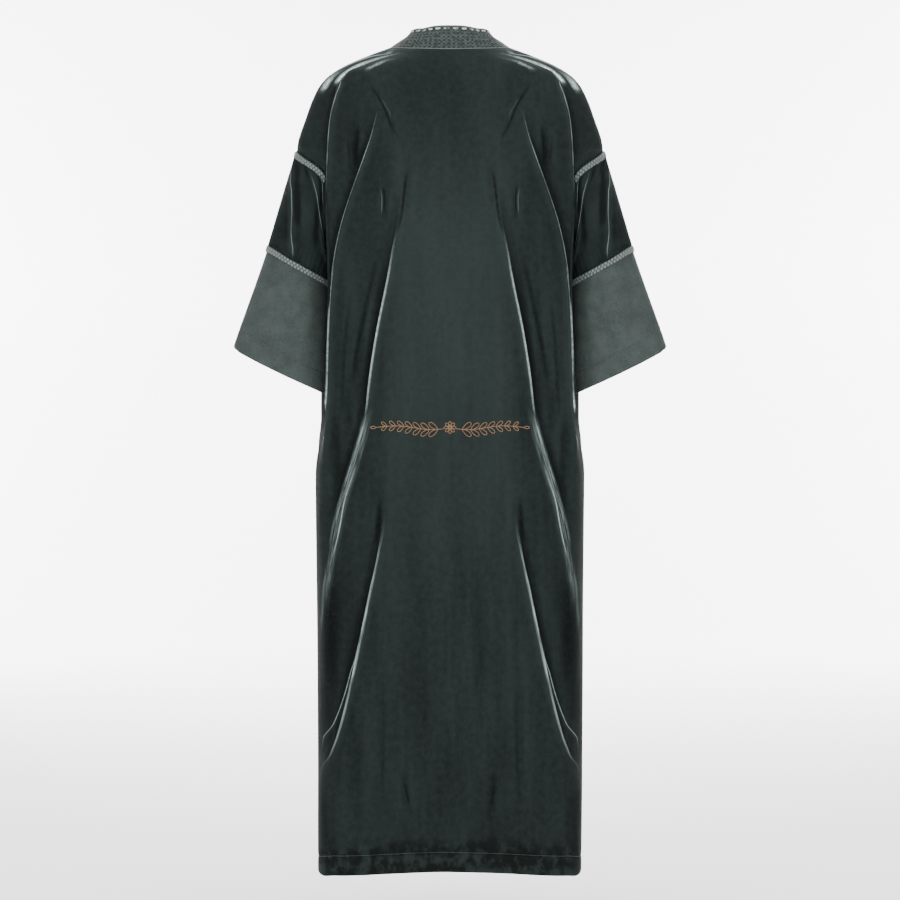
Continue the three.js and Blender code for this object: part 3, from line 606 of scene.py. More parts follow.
        # Painted shade down the sides, below the underarm.
        painted_shade = painted_shade + 0.9 * smoothstep(np.abs(place), 1.5, 2) * smoothstep(drop, UNDERARM, 450)
        return moved, grid_normals(moved, side.value), painted_shade

    @staticmethod
    def lay_out(x: Array, drop: Array, place: Array) -> Array:
        """How far out points lie on the flat cloth, where a panel's side lies beyond its broad face.

        Args:
            x: Distances out from the middle, with their sign.
            drop: Depths below the origin.
            place: The places on the section.

        Returns:
            Distances out on the flat cloth.
        """
        start = smooth_curve((0, 110, 200, 300, 600, 720, HEM), (2.0, 1.9, 1.2, 1.12, 1.12, 1.35, 1.5), drop)
        return x + np.sign(x) * 60 * smoothstep(np.abs(place) - start, 0, 0.4)

    def place_at(self, drop: float, side: Side, out: float) -> float:
        """The place on a section at which the cloth is that far out.

        Args:
            drop: Depth below the origin.
            side: Back or front.
            out: Distance from the middle.

        Returns:
            The place.
        """
        places = np.linspace(0, 2, 801)
        xs = np.maximum.accumulate(self.plain(np.array(drop), side, places)[:, 0])
        return float(np.interp(out, xs, places))

    def on_back(self, x: Array, drop: Array, lift: float) -> Array:
        """Points that lie on the back.

        Args:
            x: Distances from the middle, inside the crest.
            drop: Depths below the origin.
            lift: How far off the cloth they lie.

        Returns:
            Points with a last axis of 3.
        """
        x, drop = np.asarray(x, float), np.asarray(drop, float)

        def point(px: Array, pd: Array) -> Array:
            """The folded cloth at px out and pd down."""
            place = px / self.section(pd)["crest_x"]
            plain = self.plain(pd, Side.BACK, place)
            return plain - np.stack([0 * px, self.depth(px, pd, Side.BACK, np.abs(place)), 0 * px], axis=-1)

        here = point(x, drop)
        normal = unit(np.cross(point(x + 1, drop) - here, point(x, drop + 1) - here))
        return here + normal * lift


FORM = BodyForm()


# ---------------------------------------------------------------- meshes


def to_object(
    name: str, points: Array, faces: Array, lay: Array | None = None, painted_shade: Array | None = None
) -> bpy.types.Object:
    """A smooth object from points in millimetres.

    Args:
        name: The piece's name.
        points: Points as n by 3.
        faces: Four point numbers for each face.
        lay: Where each point lies on the flat cloth, as n by 2.
        painted_shade: How much painted shade lies on the cloth at each point, below 0 painted light.

    Returns:
        The object, linked to the scene.
    """
    mesh = bpy.data.meshes.new(name)
    mesh.from_pydata((points * MM).tolist(), [], faces.tolist())
    if lay is not None:
        layer = mesh.uv_layers.new(name="lay")
        corners = np.zeros(len(mesh.loops), dtype=np.int32)
        mesh.loops.foreach_get("vertex_index", corners)
        layer.data.foreach_set("uv", lay[corners].astype(np.float32).ravel())
    if painted_shade is not None:
        mesh.attributes.new("painted_shade", "FLOAT", "POINT").data.foreach_set("value", painted_shade.astype(np.float32))
    mesh.polygons.foreach_set("use_smooth", np.ones(len(mesh.polygons), dtype=bool))
    work = bmesh.new()
    work.from_mesh(mesh)
    bmesh.ops.recalc_face_normals(work, faces=work.faces)
    work.to_mesh(mesh)
    work.free()
    made = bpy.data.objects.new(name, mesh)
    bpy.context.scene.collection.objects.link(made)
    return made


def wall(
    name: str, outer: Array, inner: Array, lay: Array, around: bool = False, painted_shade: Array | None = None
) -> bpy.types.Object:
    """The closed wall between two grids of points, with a rounded edge.

    Args:
        name: The piece's name.
        outer: The outer grid, rows by columns by 3.
        inner: The inner grid.
        lay: Where each point of the grid lies on the flat cloth, rows by columns by 2.
        around: True if each row closes on itself.
        painted_shade: How much painted shade lies on the outer face at each point of the grid.

    Returns:
        The object.
    """
    rows, columns = outer.shape[:2]
    number = np.arange(rows * columns).reshape(rows, columns)
    if around:
        beside = np.roll(number, -1, 1)
        quads = np.stack([number[:-1], beside[:-1], beside[1:], number[1:]], -1)
        loops = [number[0], number[-1]]
        inside = [number[1], number[-2]]
    else:
        quads = np.stack([number[:-1, :-1], number[:-1, 1:], number[1:, 1:], number[1:, :-1]], -1)
        loops = [np.r_[number[0], number[1:, -1], number[-1, -2::-1], number[-2:0:-1, 0]]]
        inside = [np.r_[number[1], number[1:, -2], number[-2, -2::-1], number[-2:0:-1, 1]]]
    quads = quads.reshape(-1, 4)
    flat_outer, flat_inner, flat_lay = outer.reshape(-1, 3), inner.reshape(-1, 3), lay.reshape(-1, 2)
    count = rows * columns
    points, lays, faces = [flat_outer, flat_inner], [flat_lay, flat_lay], [quads, quads[:, ::-1] + count]
    start = 2 * count
    for loop, near in zip(loops, inside):
        middle = (flat_outer[loop] + flat_inner[loop]) / 2
        half = np.linalg.norm(flat_outer[loop] - flat_inner[loop], axis=1, keepdims=True) / 2
        points.append(middle + unit(flat_outer[loop] - flat_outer[near]) * half * 0.6)
        lays.append(flat_lay[loop])
        rim = start + np.arange(len(loop))
        ahead = np.roll(np.arange(len(loop)), -1)
        faces.append(np.stack([loop, loop[ahead], rim[ahead], rim], -1))
        faces.append(np.stack([rim, rim[ahead], loop[ahead] + count, loop + count], -1))
        start += len(loop)
    painted_shades = np.zeros(start)
    if painted_shade is not None:
        painted_shades[:count] = painted_shade.ravel()
    return to_object(name, np.vstack(points), np.vstack(faces), np.vstack(lays), painted_shades)


def tubes(name: str, paths: Sequence[Array], radius: float, sides: int = 6) -> bpy.types.Object:
    """Threads along several paths, as one object.

    Args:
        name: The piece's name.
        paths: Points as n by 3, in millimetres, one array for each thread.
        radius: Half the thread's thickness; its ends are drawn in.
        sides: How many sides a thread has.

    Returns:
        The object.
    """
    points, faces, lays, start = [], [], [], 0
    angle = np.linspace(0, 2 * math.pi, sides, endpoint=False)
    for path in paths:
        count = len(path)
        along = unit(np.gradient(path, axis=0))
        across = unit(np.cross(along, (0.13, 0.97, 0.21)))
        up = np.cross(across, along)
        taper = np.ones(count)
        taper[0] = taper[-1] = 0.35
        ring = across[:, None] * np.cos(angle)[:, None] + up[:, None] * np.sin(angle)[:, None]
        points.append((path[:, None] + ring * (radius * taper)[:, None, None]).reshape(-1, 3))
        length = np.r_[0, np.cumsum(np.linalg.norm(np.diff(path, axis=0), axis=1))] * MM
        lays.append(np.stack(np.meshgrid(angle / 6.2832, length), -1).reshape(-1, 2))
        number = start + np.arange(count * sides).reshape(count, sides)
        turn = np.roll(number, -1, axis=1)
        faces.append(np.stack([number[:-1], turn[:-1], turn[1:], number[1:]], -1).reshape(-1, 4))
        for end in (number[0], number[-1]):
            for k in range(1, sides - 2, 2):
                faces.append(np.array([[end[0], end[k], end[k + 1], end[k + 2]]]))
        start += count * sides
    return to_object(name, np.vstack(points), np.vstack(faces), np.vstack(lays))


def stitches(line: Array, long: float, gap: float) -> list[Array]:
    """The visible parts of a running stitch along a line.

    Args:
        line: Points as n by 3.
        long: The length of one stitch.
        gap: The space between two stitches.

    Returns:
        Short paths of three points.
    """
    length = np.r_[0, np.cumsum(np.linalg.norm(np.diff(line, axis=0), axis=1))]
    starts = np.arange(gap, length[-1] - long, long + gap)
    at = starts[:, None] + np.array([0, long / 2, long])
    return list(np.stack([np.interp(at, length, line[:, axis]) for axis in range(3)], axis=-1))


# ---------------------------------------------------------------- finishes


def srgb(code: str) -> tuple[float, float, float, float]:
    """A linear colour from an sRGB hex code.

    Args:
        code: Such as "#2c3534".

    Returns:
        Linear red, green, blue and 1.
    """
    channels = [int(code[i : i + 2], 16) / 255 for i in (1, 3, 5)]
    return (*(c / 12.92 if c <= 0.04045 else ((c + 0.055) / 1.055) ** 2.4 for c in channels), 1.0)


Socket = bpy.types.NodeSocket | float | int | tuple


class Finish:
    """A material under construction, with one way of adding a node."""

    def __init__(self, name: str) -> None:
        """Starts a material with an empty node tree.

        Args:
            name: The finish's name.
        """
        self.material = bpy.data.materials.new(name)
        self.material.use_nodes = True
        self.tree = self.material.node_tree
        self.tree.nodes.clear()

    def add(
        self, kind: str, inputs: dict[str | int, Socket], output: str | int = 0, **settings: object
    ) -> bpy.types.NodeSocket:
        """Adds a node, with its settings and links.

        Args:
            kind: The node's type.
            inputs: A value or a socket for each named input.
            output: The output that is wanted.
            **settings: The node's own settings.

        Returns:
            The output socket, or nothing for the material's own output.
        """
        made = self.tree.nodes.new(kind)
        for key, value in settings.items():
            setattr(made, key, value)
        for key, value in inputs.items():
            if isinstance(value, bpy.types.NodeSocket):
                self.tree.links.new(value, made.inputs[key])
            else:
                made.inputs[key].default_value = value
        return made.outputs[output] if made.outputs else None

    def math(self, operation: str, a: Socket, b: Socket = 0.0) -> bpy.types.NodeSocket:
        """A sum or another operation.

        Args:
            operation: Blender's name for it.
            a: The first value.
            b: The second value.

        Returns:
            The result.
        """
        return self.add("ShaderNodeMath", {0: a, 1: b}, operation=operation)

    def mix(self, share: Socket, a: Socket, b: Socket) -> bpy.types.NodeSocket:
        """A mix of two colours.

        Args:
            share: 0 for the first colour and 1 for the second.
            a: The first colour.
            b: The second colour.

        Returns:
            The mixed colour.
        """
        return self.add("ShaderNodeMix", {0: share, 6: a, 7: b}, 2, data_type="RGBA")

    def ramp(
        self, value: Socket, low: float, high: float, to_low: float = 0.0, to_high: float = 1.0
    ) -> bpy.types.NodeSocket:
        """A smooth rise from one value to another.

        Args:
            value: What is read.
            low: Where the rise begins.
            high: Where it ends.
            to_low: The result at the beginning.
            to_high: The result at the end.

        Returns:
            The result.
        """
        return self.add(
            "ShaderNodeMapRange",
            {"Value": value, "From Min": low, "From Max": high, "To Min": to_low, "To Max": to_high},
            interpolation_type="SMOOTHSTEP",
        )

    def curve(self, value: Socket, points: Sequence[tuple[float, float]]) -> bpy.types.NodeSocket:
        """A curve through points between 0 and 1.

        Args:
            value: What is read.
            points: Pairs of a position and a value.

        Returns:
            The curve's value.
        """
        level = 0.004  # the curve runs level for this long beyond its ends
        ahead, behind = (points[0][0] - level, points[0][1]), (points[-1][0] + level, points[-1][1])
        points = [ahead, *points, behind]
        made = self.tree.nodes.new("ShaderNodeFloatCurve")
        made.inputs["Factor"].default_value = 1.0
        self.tree.links.new(value, made.inputs["Value"])
        line = made.mapping.curves[0]
        line.points[0].location, line.points[1].location = points[0], points[-1]
        for x, y in points[1:-1]:
            line.points.new(x, y)
        for point in line.points:
            point.handle_type = "AUTO_CLAMPED"
        made.mapping.use_clip = False
        made.mapping.extend = "HORIZONTAL"
        made.mapping.update()
        return made.outputs[0]

    def noise(
        self, scale: tuple[float, float], detail: float = 3.0, rough: float = 0.55
    ) -> bpy.types.NodeSocket:
        """Noise laid on the flat cloth.

        Args:
            scale: How many lumps there are to the metre, across and down.
            detail: How many finer layers it has.
            rough: How strong they are.

        Returns:
            Values around 0.5.
        """
        place = self.add("ShaderNodeMapping", {"Vector": self.lay(), "Scale": (scale[0], scale[1], 1.0)})
        return self.add(
            "ShaderNodeTexNoise", {"Vector": place, "Scale": 1.0, "Detail": detail, "Roughness": rough}
        )

    def grain(self, size: float, detail: float = 2.0) -> bpy.types.NodeSocket:
        """Grain that is alike in all directions.

        Args:
            size: The size of a grain, in millimetres.
            detail: How many finer layers it has.

        Returns:
            Values around 0.5.
        """
        place = self.add("ShaderNodeTexCoord", {}, "Object")
        return self.add("ShaderNodeTexNoise", {"Vector": place, "Scale": 1 / (size * MM), "Detail": detail})

    def lay(self) -> bpy.types.NodeSocket:
        """Where a point lies on the flat cloth.

        Returns:
            The coordinates.
        """
        return self.add("ShaderNodeUVMap", {}, uv_map="lay")

    def lay_parts(self) -> tuple[bpy.types.NodeSocket, bpy.types.NodeSocket]:
        """Where a point lies on the flat cloth, as two numbers.

        Returns:
            The distance across and the distance down.
        """
        both = self.add("ShaderNodeSeparateXYZ", {"Vector": self.lay()})
        return both, both.node.outputs[1]

    def close(
        self,
        colour: Socket,
        roughness: Socket,
        sheen: Socket,
        sheen_roughness: float,
        sheen_tint: tuple[float, float, float, float],
        relief: Socket,
        relief_depth: float,
        specular: float = 0.25,
    ) -> bpy.types.Material:
        """Ends the material with its surface.

        Args:
            colour: The cloth's colour.
            roughness: How matte it is.
            sheen: How strong the sheen of its fibres is.
            sheen_roughness: How soft that sheen is.
            sheen_tint: The sheen's colour.
            relief: The height of the fine relief, between 0 and 1.
            relief_depth: What a height of 1 means, in millimetres.
            specular: How much the fibres themselves shine.

        Returns:
            The material.
        """
        bump = self.add("ShaderNodeBump", {"Height": relief, "Distance": relief_depth * MM, "Strength": 1.0})
        surface = self.add(
            "ShaderNodeBsdfPrincipled",
            {
                "Base Color": colour,
                "Roughness": roughness,
                "Normal": bump,
                "Sheen Weight": sheen,
                "Sheen Roughness": sheen_roughness,
                "Sheen Tint": sheen_tint,
                "Specular IOR Level": specular,
            },
        )
        self.add("ShaderNodeOutputMaterial", {"Surface": surface})
        return self.material


@dataclass(frozen=True)
class VelvetFinish:
    """Short cotton-backed velvet: deep where it is seen straight on, with painted silvery highlights along
    its ridges and painted shade beside them.
    """

    name: str
    ridges: tuple[Ridge, ...]
    unit_out: float = MM  # the lay's measure of a ridge's first number
    unit_drop: float = MM  # and of its second
    per_mm: float = MM  # and of a ridge's widths
    span: float = 1.4  # the length of the lay, in its own measure
    wide: float = 0.3  # the largest distance out, in its own measure
    middle_light: tuple[tuple[float, float], ...] = ((0.0, 0.0), (1.0, 0.0))  # how strong the painted light down the middle is, along the length
    middle_light_edge: tuple[float, float] = (0.125, 0.075)  # metres out from the middle, where the painted light down the middle ends
    mottle_from: tuple[float, float] = (0.915, 0.936)  # the share of the length where the hem's mottle begins
    streaked: float = 0.7  # a ridge brushed more than this breaks up into streaks along it
    halo: tuple[float, float] = (9.0, 0.04)  # how wide the painted glow beside a ridge is, and its strength
    shade_at: tuple[float, float, float] = (0.5, 2.5, 15.0)  # where the painted shade beyond a ridge begins, is darkest and ends
    # Colours: the painted shade, the ground from deep to full, the painted light down the middle, and the
    # painted highlights from lit to bright.
    darkest: str = "#040606"
    deep: str = "#0c100f"
    full: str = "#1c2322"
    middle_lit: str = "#2b3433"
    lit: str = "#9cacaa"
    bright: str = "#f4faf8"
    sheen: float = 0.02

    def lines(self, f: Finish) -> tuple[bpy.types.NodeSocket, bpy.types.NodeSocket]:
        """The painted highlights along the ridges, and the painted shade along the dark ridges and beyond the
        lit ones.

        Args:
            f: The material under construction.

        Returns:
            Both strengths.
        """
        across, down = f.lay_parts()
        out, height = f.math("ABSOLUTE", across), f.math("DIVIDE", down, self.span)
        spots = f.ramp(f.noise((300 * MM / self.per_mm, 210 / self.span), 3.0, 0.65), 0.32, 0.64, 0.15, 1.35)
        lift, dark = 0.0, 0.0
        for ridge in self.ridges:
            path = [(drop * self.unit_drop, out_ * self.unit_out) for out_, drop in ridge.path]
            start, end = path[0][0], path[-1][0]
            line = f.curve(height, [(d / self.span, x / self.wide) for d, x in path])
            apart = f.math("SUBTRACT", out, f.math("MULTIPLY", line, self.wide))
            step = (end - start) / (len(ridge.shine) + 1)
            shine = [(start + step * (i + 1), value) for i, value in enumerate(ridge.shine)]
            shine = [(start, 0.0), *shine, (end, 0.0)]
            strength = f.curve(height, [(d / self.span, v) for d, v in shine])
            inner = f.ramp(apart, -ridge.inner * self.per_mm, 0.0)
            outer = f.ramp(apart, ridge.outer * self.per_mm, 0.0)
            marks = self.fibres(f, apart, height) if ridge.brushed > self.streaked else spots
            broken = f.math("MULTIPLY_ADD", marks, ridge.brushed)
            broken.node.inputs[2].default_value = 1.0 - ridge.brushed
            core = f.math("MULTIPLY", f.math("MULTIPLY", inner, outer), f.math("MULTIPLY", strength, broken))
            halo = f.ramp(apart, -self.halo[0] * self.per_mm, 0.0, 0.0, self.halo[1])
            halo = f.math("MULTIPLY", halo, f.math("MULTIPLY", strength, outer))
            if min(ridge.shine) < 0:
                dark = f.math("MAXIMUM", dark, f.math("MULTIPLY", core, -1.0))
                continue
            lift = f.math("MAXIMUM", lift, f.math("ADD", core, halo))
            if ridge.shade:
                begins, full, ends = (value * self.per_mm for value in self.shade_at)
                beyond = f.math("MULTIPLY", f.ramp(apart, begins, full), f.ramp(apart, ends, full))
                shade = f.math("MULTIPLY", beyond, f.math("MULTIPLY", strength, ridge.shade))
                dark = f.math("MAXIMUM", dark, shade)
        return lift, dark

    def fibres(self, f: Finish, apart: Socket, height: Socket) -> bpy.types.NodeSocket:
        """Fine streaks that run along a ridge.

        Args:
            f: The material under construction.
            apart: The distance from the ridge.
            height: The share of the lay's length.

        Returns:
            Strengths around 1.
        """
        aside, along = f.math("MULTIPLY", apart, 700 * MM / self.per_mm), f.math("MULTIPLY", height, 34.0)
        place = f.add("ShaderNodeCombineXYZ", {0: aside, 1: along})
        noise = f.add("ShaderNodeTexNoise", {"Vector": place, "Scale": 1.0, "Detail": 4.0, "Roughness": 0.7})
        return f.ramp(noise, 0.36, 0.66, 0.0, 1.9)

    def build(self) -> bpy.types.Material:
        """Makes the material.

        Returns:
            The material.
        """
        f = Finish(self.name)
        lift, dark = self.lines(f)
        painted_shade = f.add("ShaderNodeAttribute", {}, 2, attribute_name="painted_shade")
        smear = f.noise((14 * MM / self.per_mm, 5 / self.span), 3.0)
        thread = f.noise((210 * MM / self.per_mm, 9 / self.span), 3.0, 0.6)
        blotch = f.noise((110 * MM / self.per_mm, 130 / self.span), 3.0, 0.7)
        across, down = f.lay_parts()
        height = f.math("DIVIDE", down, self.span)
        tone = f.math("ADD", f.math("MULTIPLY", smear, 0.5), f.math("MULTIPLY", thread, 0.08))
        tone = f.math("ADD", tone, f.math("MULTIPLY", blotch, 0.42))
        # The mesh's painted shade (creases, steep flanks, above the hem's stitches, down the sides) darkens
        # the ground, and its painted light on swells lightens it.
        tone = f.math("SUBTRACT", f.ramp(tone, 0.3, 0.7), f.math("MULTIPLY", painted_shade, 0.75))
        mottle = f.ramp(f.noise((55 * MM / self.per_mm, 60 / self.span), 3.0, 0.6), 0.35, 0.65, -1.2, 0.5)
        tone = f.math("ADD", tone, f.math("MULTIPLY", mottle, f.ramp(height, *self.mottle_from)))
        ground = f.mix(f.ramp(tone, -0.6, 1.3), srgb(self.deep), srgb(self.full))
        middle = f.ramp(f.math("ABSOLUTE", across), *self.middle_light_edge)
        # Painted light down the middle of the back.
        ground = f.mix(f.math("MULTIPLY", middle, f.curve(height, self.middle_light)), ground, srgb(self.middle_lit))
        # Painted shade along the dark ridges and beyond the lit ones.
        ground = f.mix(f.math("MINIMUM", f.math("MULTIPLY", dark, 0.8), 0.9), ground, srgb(self.darkest))
        # Painted highlights along the ridges, lit and, where strongest, bright.
        colour = f.mix(f.math("MINIMUM", f.math("MULTIPLY", lift, 0.8), 1.0), ground, srgb(self.lit))
        colour = f.mix(f.ramp(lift, 0.9, 1.7), colour, srgb(self.bright))
        relief = f.math("ADD", f.grain(0.9, 3.0), f.math("MULTIPLY", thread, 0.5))
        sheen = f.math("ADD", f.math("MULTIPLY", lift, 0.25), self.sheen)
        return f.close(colour, 0.9, sheen, 0.3, srgb("#c9d6d3"), relief, 0.18, 0.06)


@dataclass(frozen=True)
class CrepeFinish:
    """Fine crepe: its tightly twisted yarn gives a matte face with a small uneven grain."""

    name: str = "fine crepe"
    deep: str = "#232a28"
    full: str = "#38403e"

    def build(self) -> bpy.types.Material:
        """Makes the material.

        Returns:
            The material.
        """
        f = Finish(self.name)
        grain = f.grain(1.1, 4.0)
        cloud = f.grain(26.0, 2.0)
        tone = f.math("ADD", f.math("MULTIPLY", grain, 0.7), f.math("MULTIPLY", cloud, 0.3))
        colour = f.mix(f.ramp(tone, 0.32, 0.68), srgb(self.deep), srgb(self.full))
        return f.close(colour, 0.82, 0.06, 0.5, srgb("#b9c4c2"), grain, 0.25, 0.2)


@dataclass(frozen=True)
class GimpFinish:
    """Satin gimp braid: light thread wound slantwise, so that the beads shine, with painted shade in the gaps
    between them.
    """

    name: str = "satin gimp braid"
    deep: str = "#101514"
    full: str = "#67716f"
    wound: tuple[float, float] = (5200.0, 3600.0)  # radians to the metre, in both directions of the lay

    def build(self) -> bpy.types.Material:
        """Makes the material.

        Returns:
            The material.
        """
        f = Finish(self.name)
        across, down = f.lay_parts()
        aslant, along = f.math("MULTIPLY", across, self.wound[0]), f.math("MULTIPLY", down, self.wound[1])
        thread = f.math("SINE", f.math("ADD", aslant, along))
        painted_shade = f.add("ShaderNodeAttribute", {}, 2, attribute_name="painted_shade")
        # Faint painted shade between the windings, then the mesh's painted shade in the gaps between the
        # beads.
        tone = f.math("ADD", f.math("MULTIPLY", thread, 0.12), f.grain(1.4, 2.0))
        tone = f.math("SUBTRACT", tone, f.math("MULTIPLY", painted_shade, 0.75))
        colour = f.mix(f.ramp(tone, -0.3, 0.5), srgb(self.deep), srgb(self.full))
        return f.close(colour, 0.5, 0.25, 0.4, srgb("#d5dedc"), f.math("MULTIPLY", thread, 0.5), 0.25, 0.3)


@dataclass(frozen=True)
class BandFinish:
    """A woven band with rows of small lozenges between a corded edge and a piping."""

    name: str = "woven lozenge band"
    ground: str = "#121716"
    thread: str = "#444e4c"
    bright: str = "#a3aeac"
    cord: str = "#3f4746"
    pitch: float = 8.0  # the length of a lozenge

    def build(self) -> bpy.types.Material:
        """Makes the material.

        Returns:
            The material.
        """
        f = Finish(self.name)
        along, across = f.lay_parts()
        u = f.math("MULTIPLY", along, 1000.0)
        v = f.math("MULTIPLY", across, 1000.0)
        wave_u = f.math("PINGPONG", f.math("DIVIDE", u, self.pitch / 2), 1.0)
        wave_v = f.math("PINGPONG", f.math("DIVIDE", v, BAND_ROW), 1.0)
        waves = f.math("ADD", wave_u, wave_v)
        lozenge = f.ramp(f.math("ABSOLUTE", f.math("SUBTRACT", waves, 1.0)), 0.28, 0.12)
        heart = f.ramp(waves, 0.42, 0.2)
        pattern = f.math("MAXIMUM", f.math("MULTIPLY", lozenge, 0.75), heart)
        pattern = f.math("MULTIPLY", pattern, f.ramp(f.noise((140, 190), 3.0, 0.6), 0.36, 0.64, 0.2, 1.3))
        row = f.math("SINE", f.math("MULTIPLY", v, 4.1))
        # Light dashes under the corded edge: pale thread that also carries a painted highlight of the edge,
        # broken up at random.
        dashes = f.ramp(f.math("PINGPONG", f.math("DIVIDE", u, BAND_DASH / 2), 1.0), 0.36, 0.44)
        in_row = f.math("MULTIPLY", f.ramp(v, 35.4, 36.0), f.ramp(v, 38.6, 38.0))
        dash_breakup = f.ramp(f.noise((90, 200), 2.0, 0.6), 0.36, 0.6, 0.1, 1.0)
        dashes = f.math("MULTIPLY", f.math("MULTIPLY", dashes, in_row), dash_breakup)
        edge = f.ramp(v, 38.6, 39.2)
        slant = f.math("ADD", f.math("MULTIPLY", u, CORD_TWIST[0]), f.math("MULTIPLY", v, CORD_TWIST[1]))
        twist = f.math("SINE", slant)
        piping = f.ramp(v, 1.3, 1.0)
        colour = f.mix(pattern, srgb(self.ground), srgb(self.thread))
        # The cord's twist, with painted shade in the grooves between its strands.
        cord = f.mix(f.ramp(twist, -0.9, 0.5), srgb("#262c2b"), srgb(self.cord))
        colour = f.mix(edge, colour, cord)
        colour = f.mix(f.math("MULTIPLY", piping, 0.3), colour, srgb("#8b9795"))
        colour = f.mix(dashes, colour, srgb(self.bright))
        relief = f.math("ADD", f.math("MULTIPLY", pattern, 0.6), f.math("MULTIPLY", row, 0.12))
        relief = f.math("ADD", relief, f.math("MULTIPLY", f.math("MULTIPLY", twist, edge), 0.4))
        return f.close(colour, 0.7, 0.05, 0.4, srgb("#cfd9d7"), f.math("ADD", relief, dashes), 0.5, 0.2)


@dataclass(frozen=True)
class ThreadFinish:
    """Twisted thread, with a fine slanting line of shade at each turn."""

    name: str
    deep: str
    full: str
    roughness: float = 0.45
    metallic: float = 0.0
    turned: float = 3800.0  # radians of twist to the metre

    def build(self) -> bpy.types.Material:
        """Makes the material.

        Returns:
            The material.
        """
        f = Finish(self.name)
        across, down = f.lay_parts()
        round_it = f.math("MULTIPLY", across, 2 * math.pi)
        twist = f.math("SINE", f.math("ADD", round_it, f.math("MULTIPLY", down, self.turned)))
        colour = f.mix(f.ramp(twist, -1.0, 1.0), srgb(self.deep), srgb(self.full))
        relief = f.math("MULTIPLY", twist, 0.5)
        made = f.close(colour, self.roughness, 0.1, 0.4, srgb("#e6d6c6"), relief, 0.2, 0.5)
        surface = next(n for n in made.node_tree.nodes if n.type == "BSDF_PRINCIPLED")
        surface.inputs["Metallic"].default_value = self.metallic
        return made


# ---------------------------------------------------------------- pieces


def finish_piece(
    made: bpy.types.Object, material: bpy.types.Material, nodes: Sequence[str] = ()
) -> bpy.types.Object:
    """Gives a piece its finish and its place in the frame.

    Args:
        made: The piece.
        material: Its finish.
        nodes: The solids that it stands for.

    Returns:
        The piece.
    """
    made.data.materials.append(material)
    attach(made, "root")
    if nodes:
        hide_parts(*nodes)
    return made


def body_rows(first: float) -> Array:
    """The drops of a panel's rows, closer together at the armhole and at the hem's stitches.

    Args:
        first: The first drop.

    Returns:
        The drops, rising.
    """
    even = np.concatenate(
        [
            np.arange(first, ARMHOLE_TOP - 3, UPPER_ROW),
            np.arange(ARMHOLE_TOP, UNDERARM, ARM_ROW),
            np.arange(UNDERARM + 4, HEM - 46, LONG_ROW),
            np.arange(HEM - 43, HEM - 20, HEM_ROW),
            HEM - np.array([17, 13, 10, 7.5, 5, 3, 1.5, 0.6, 0]),
        ]
    )
    return np.unique(np.round(even, 3))


@dataclass
class BackPanel:
    """The back, in one piece from drop shoulder to drop shoulder."""

    crown_columns: int = 98
    flank_columns: int = 36
    cut: tuple[float, float] = (0.62, 1.37)
    area: float = 0.80

    def build(self, velvet: bpy.types.Material) -> bpy.types.Object:
        """Makes the back.

        Args:
            velvet: Its finish.

        Returns:
            The piece.
        """
        crown = np.linspace(0, 1, self.crown_columns, endpoint=False)
        half = np.r_[crown, np.linspace(1, 2, self.flank_columns)]
        places = np.r_[-half[:0:-1], half][None, :]
        drops = body_rows(NECK)[:, None]
        outer, normals, painted_shade = FORM.surface(drops, Side.BACK, places)
        out = FORM.lay_out(outer[..., 0], drops, places)
        lay = np.stack([out * MM, np.broadcast_to(drops, outer.shape[:2]) * MM], axis=-1)
        made = wall("back_cloth", outer, outer - normals * VELVET, lay, painted_shade=painted_shade)
        return finish_piece(made, velvet, ("back",))

    def hem_line(self) -> Array:
        """The line along which the hem is sewn.

        Returns:
            Points as n by 3.
        """
        places = np.linspace(-1.98, 1.98, 900)
        drops = np.array([HEM - HEM_STITCH - 1, HEM - HEM_STITCH, HEM - HEM_STITCH + 1])[:, None]
        points, normals, _ = FORM.surface(drops, Side.BACK, places[None, :])
        return points[1] + normals[1] * HEM_THREAD_LIFT


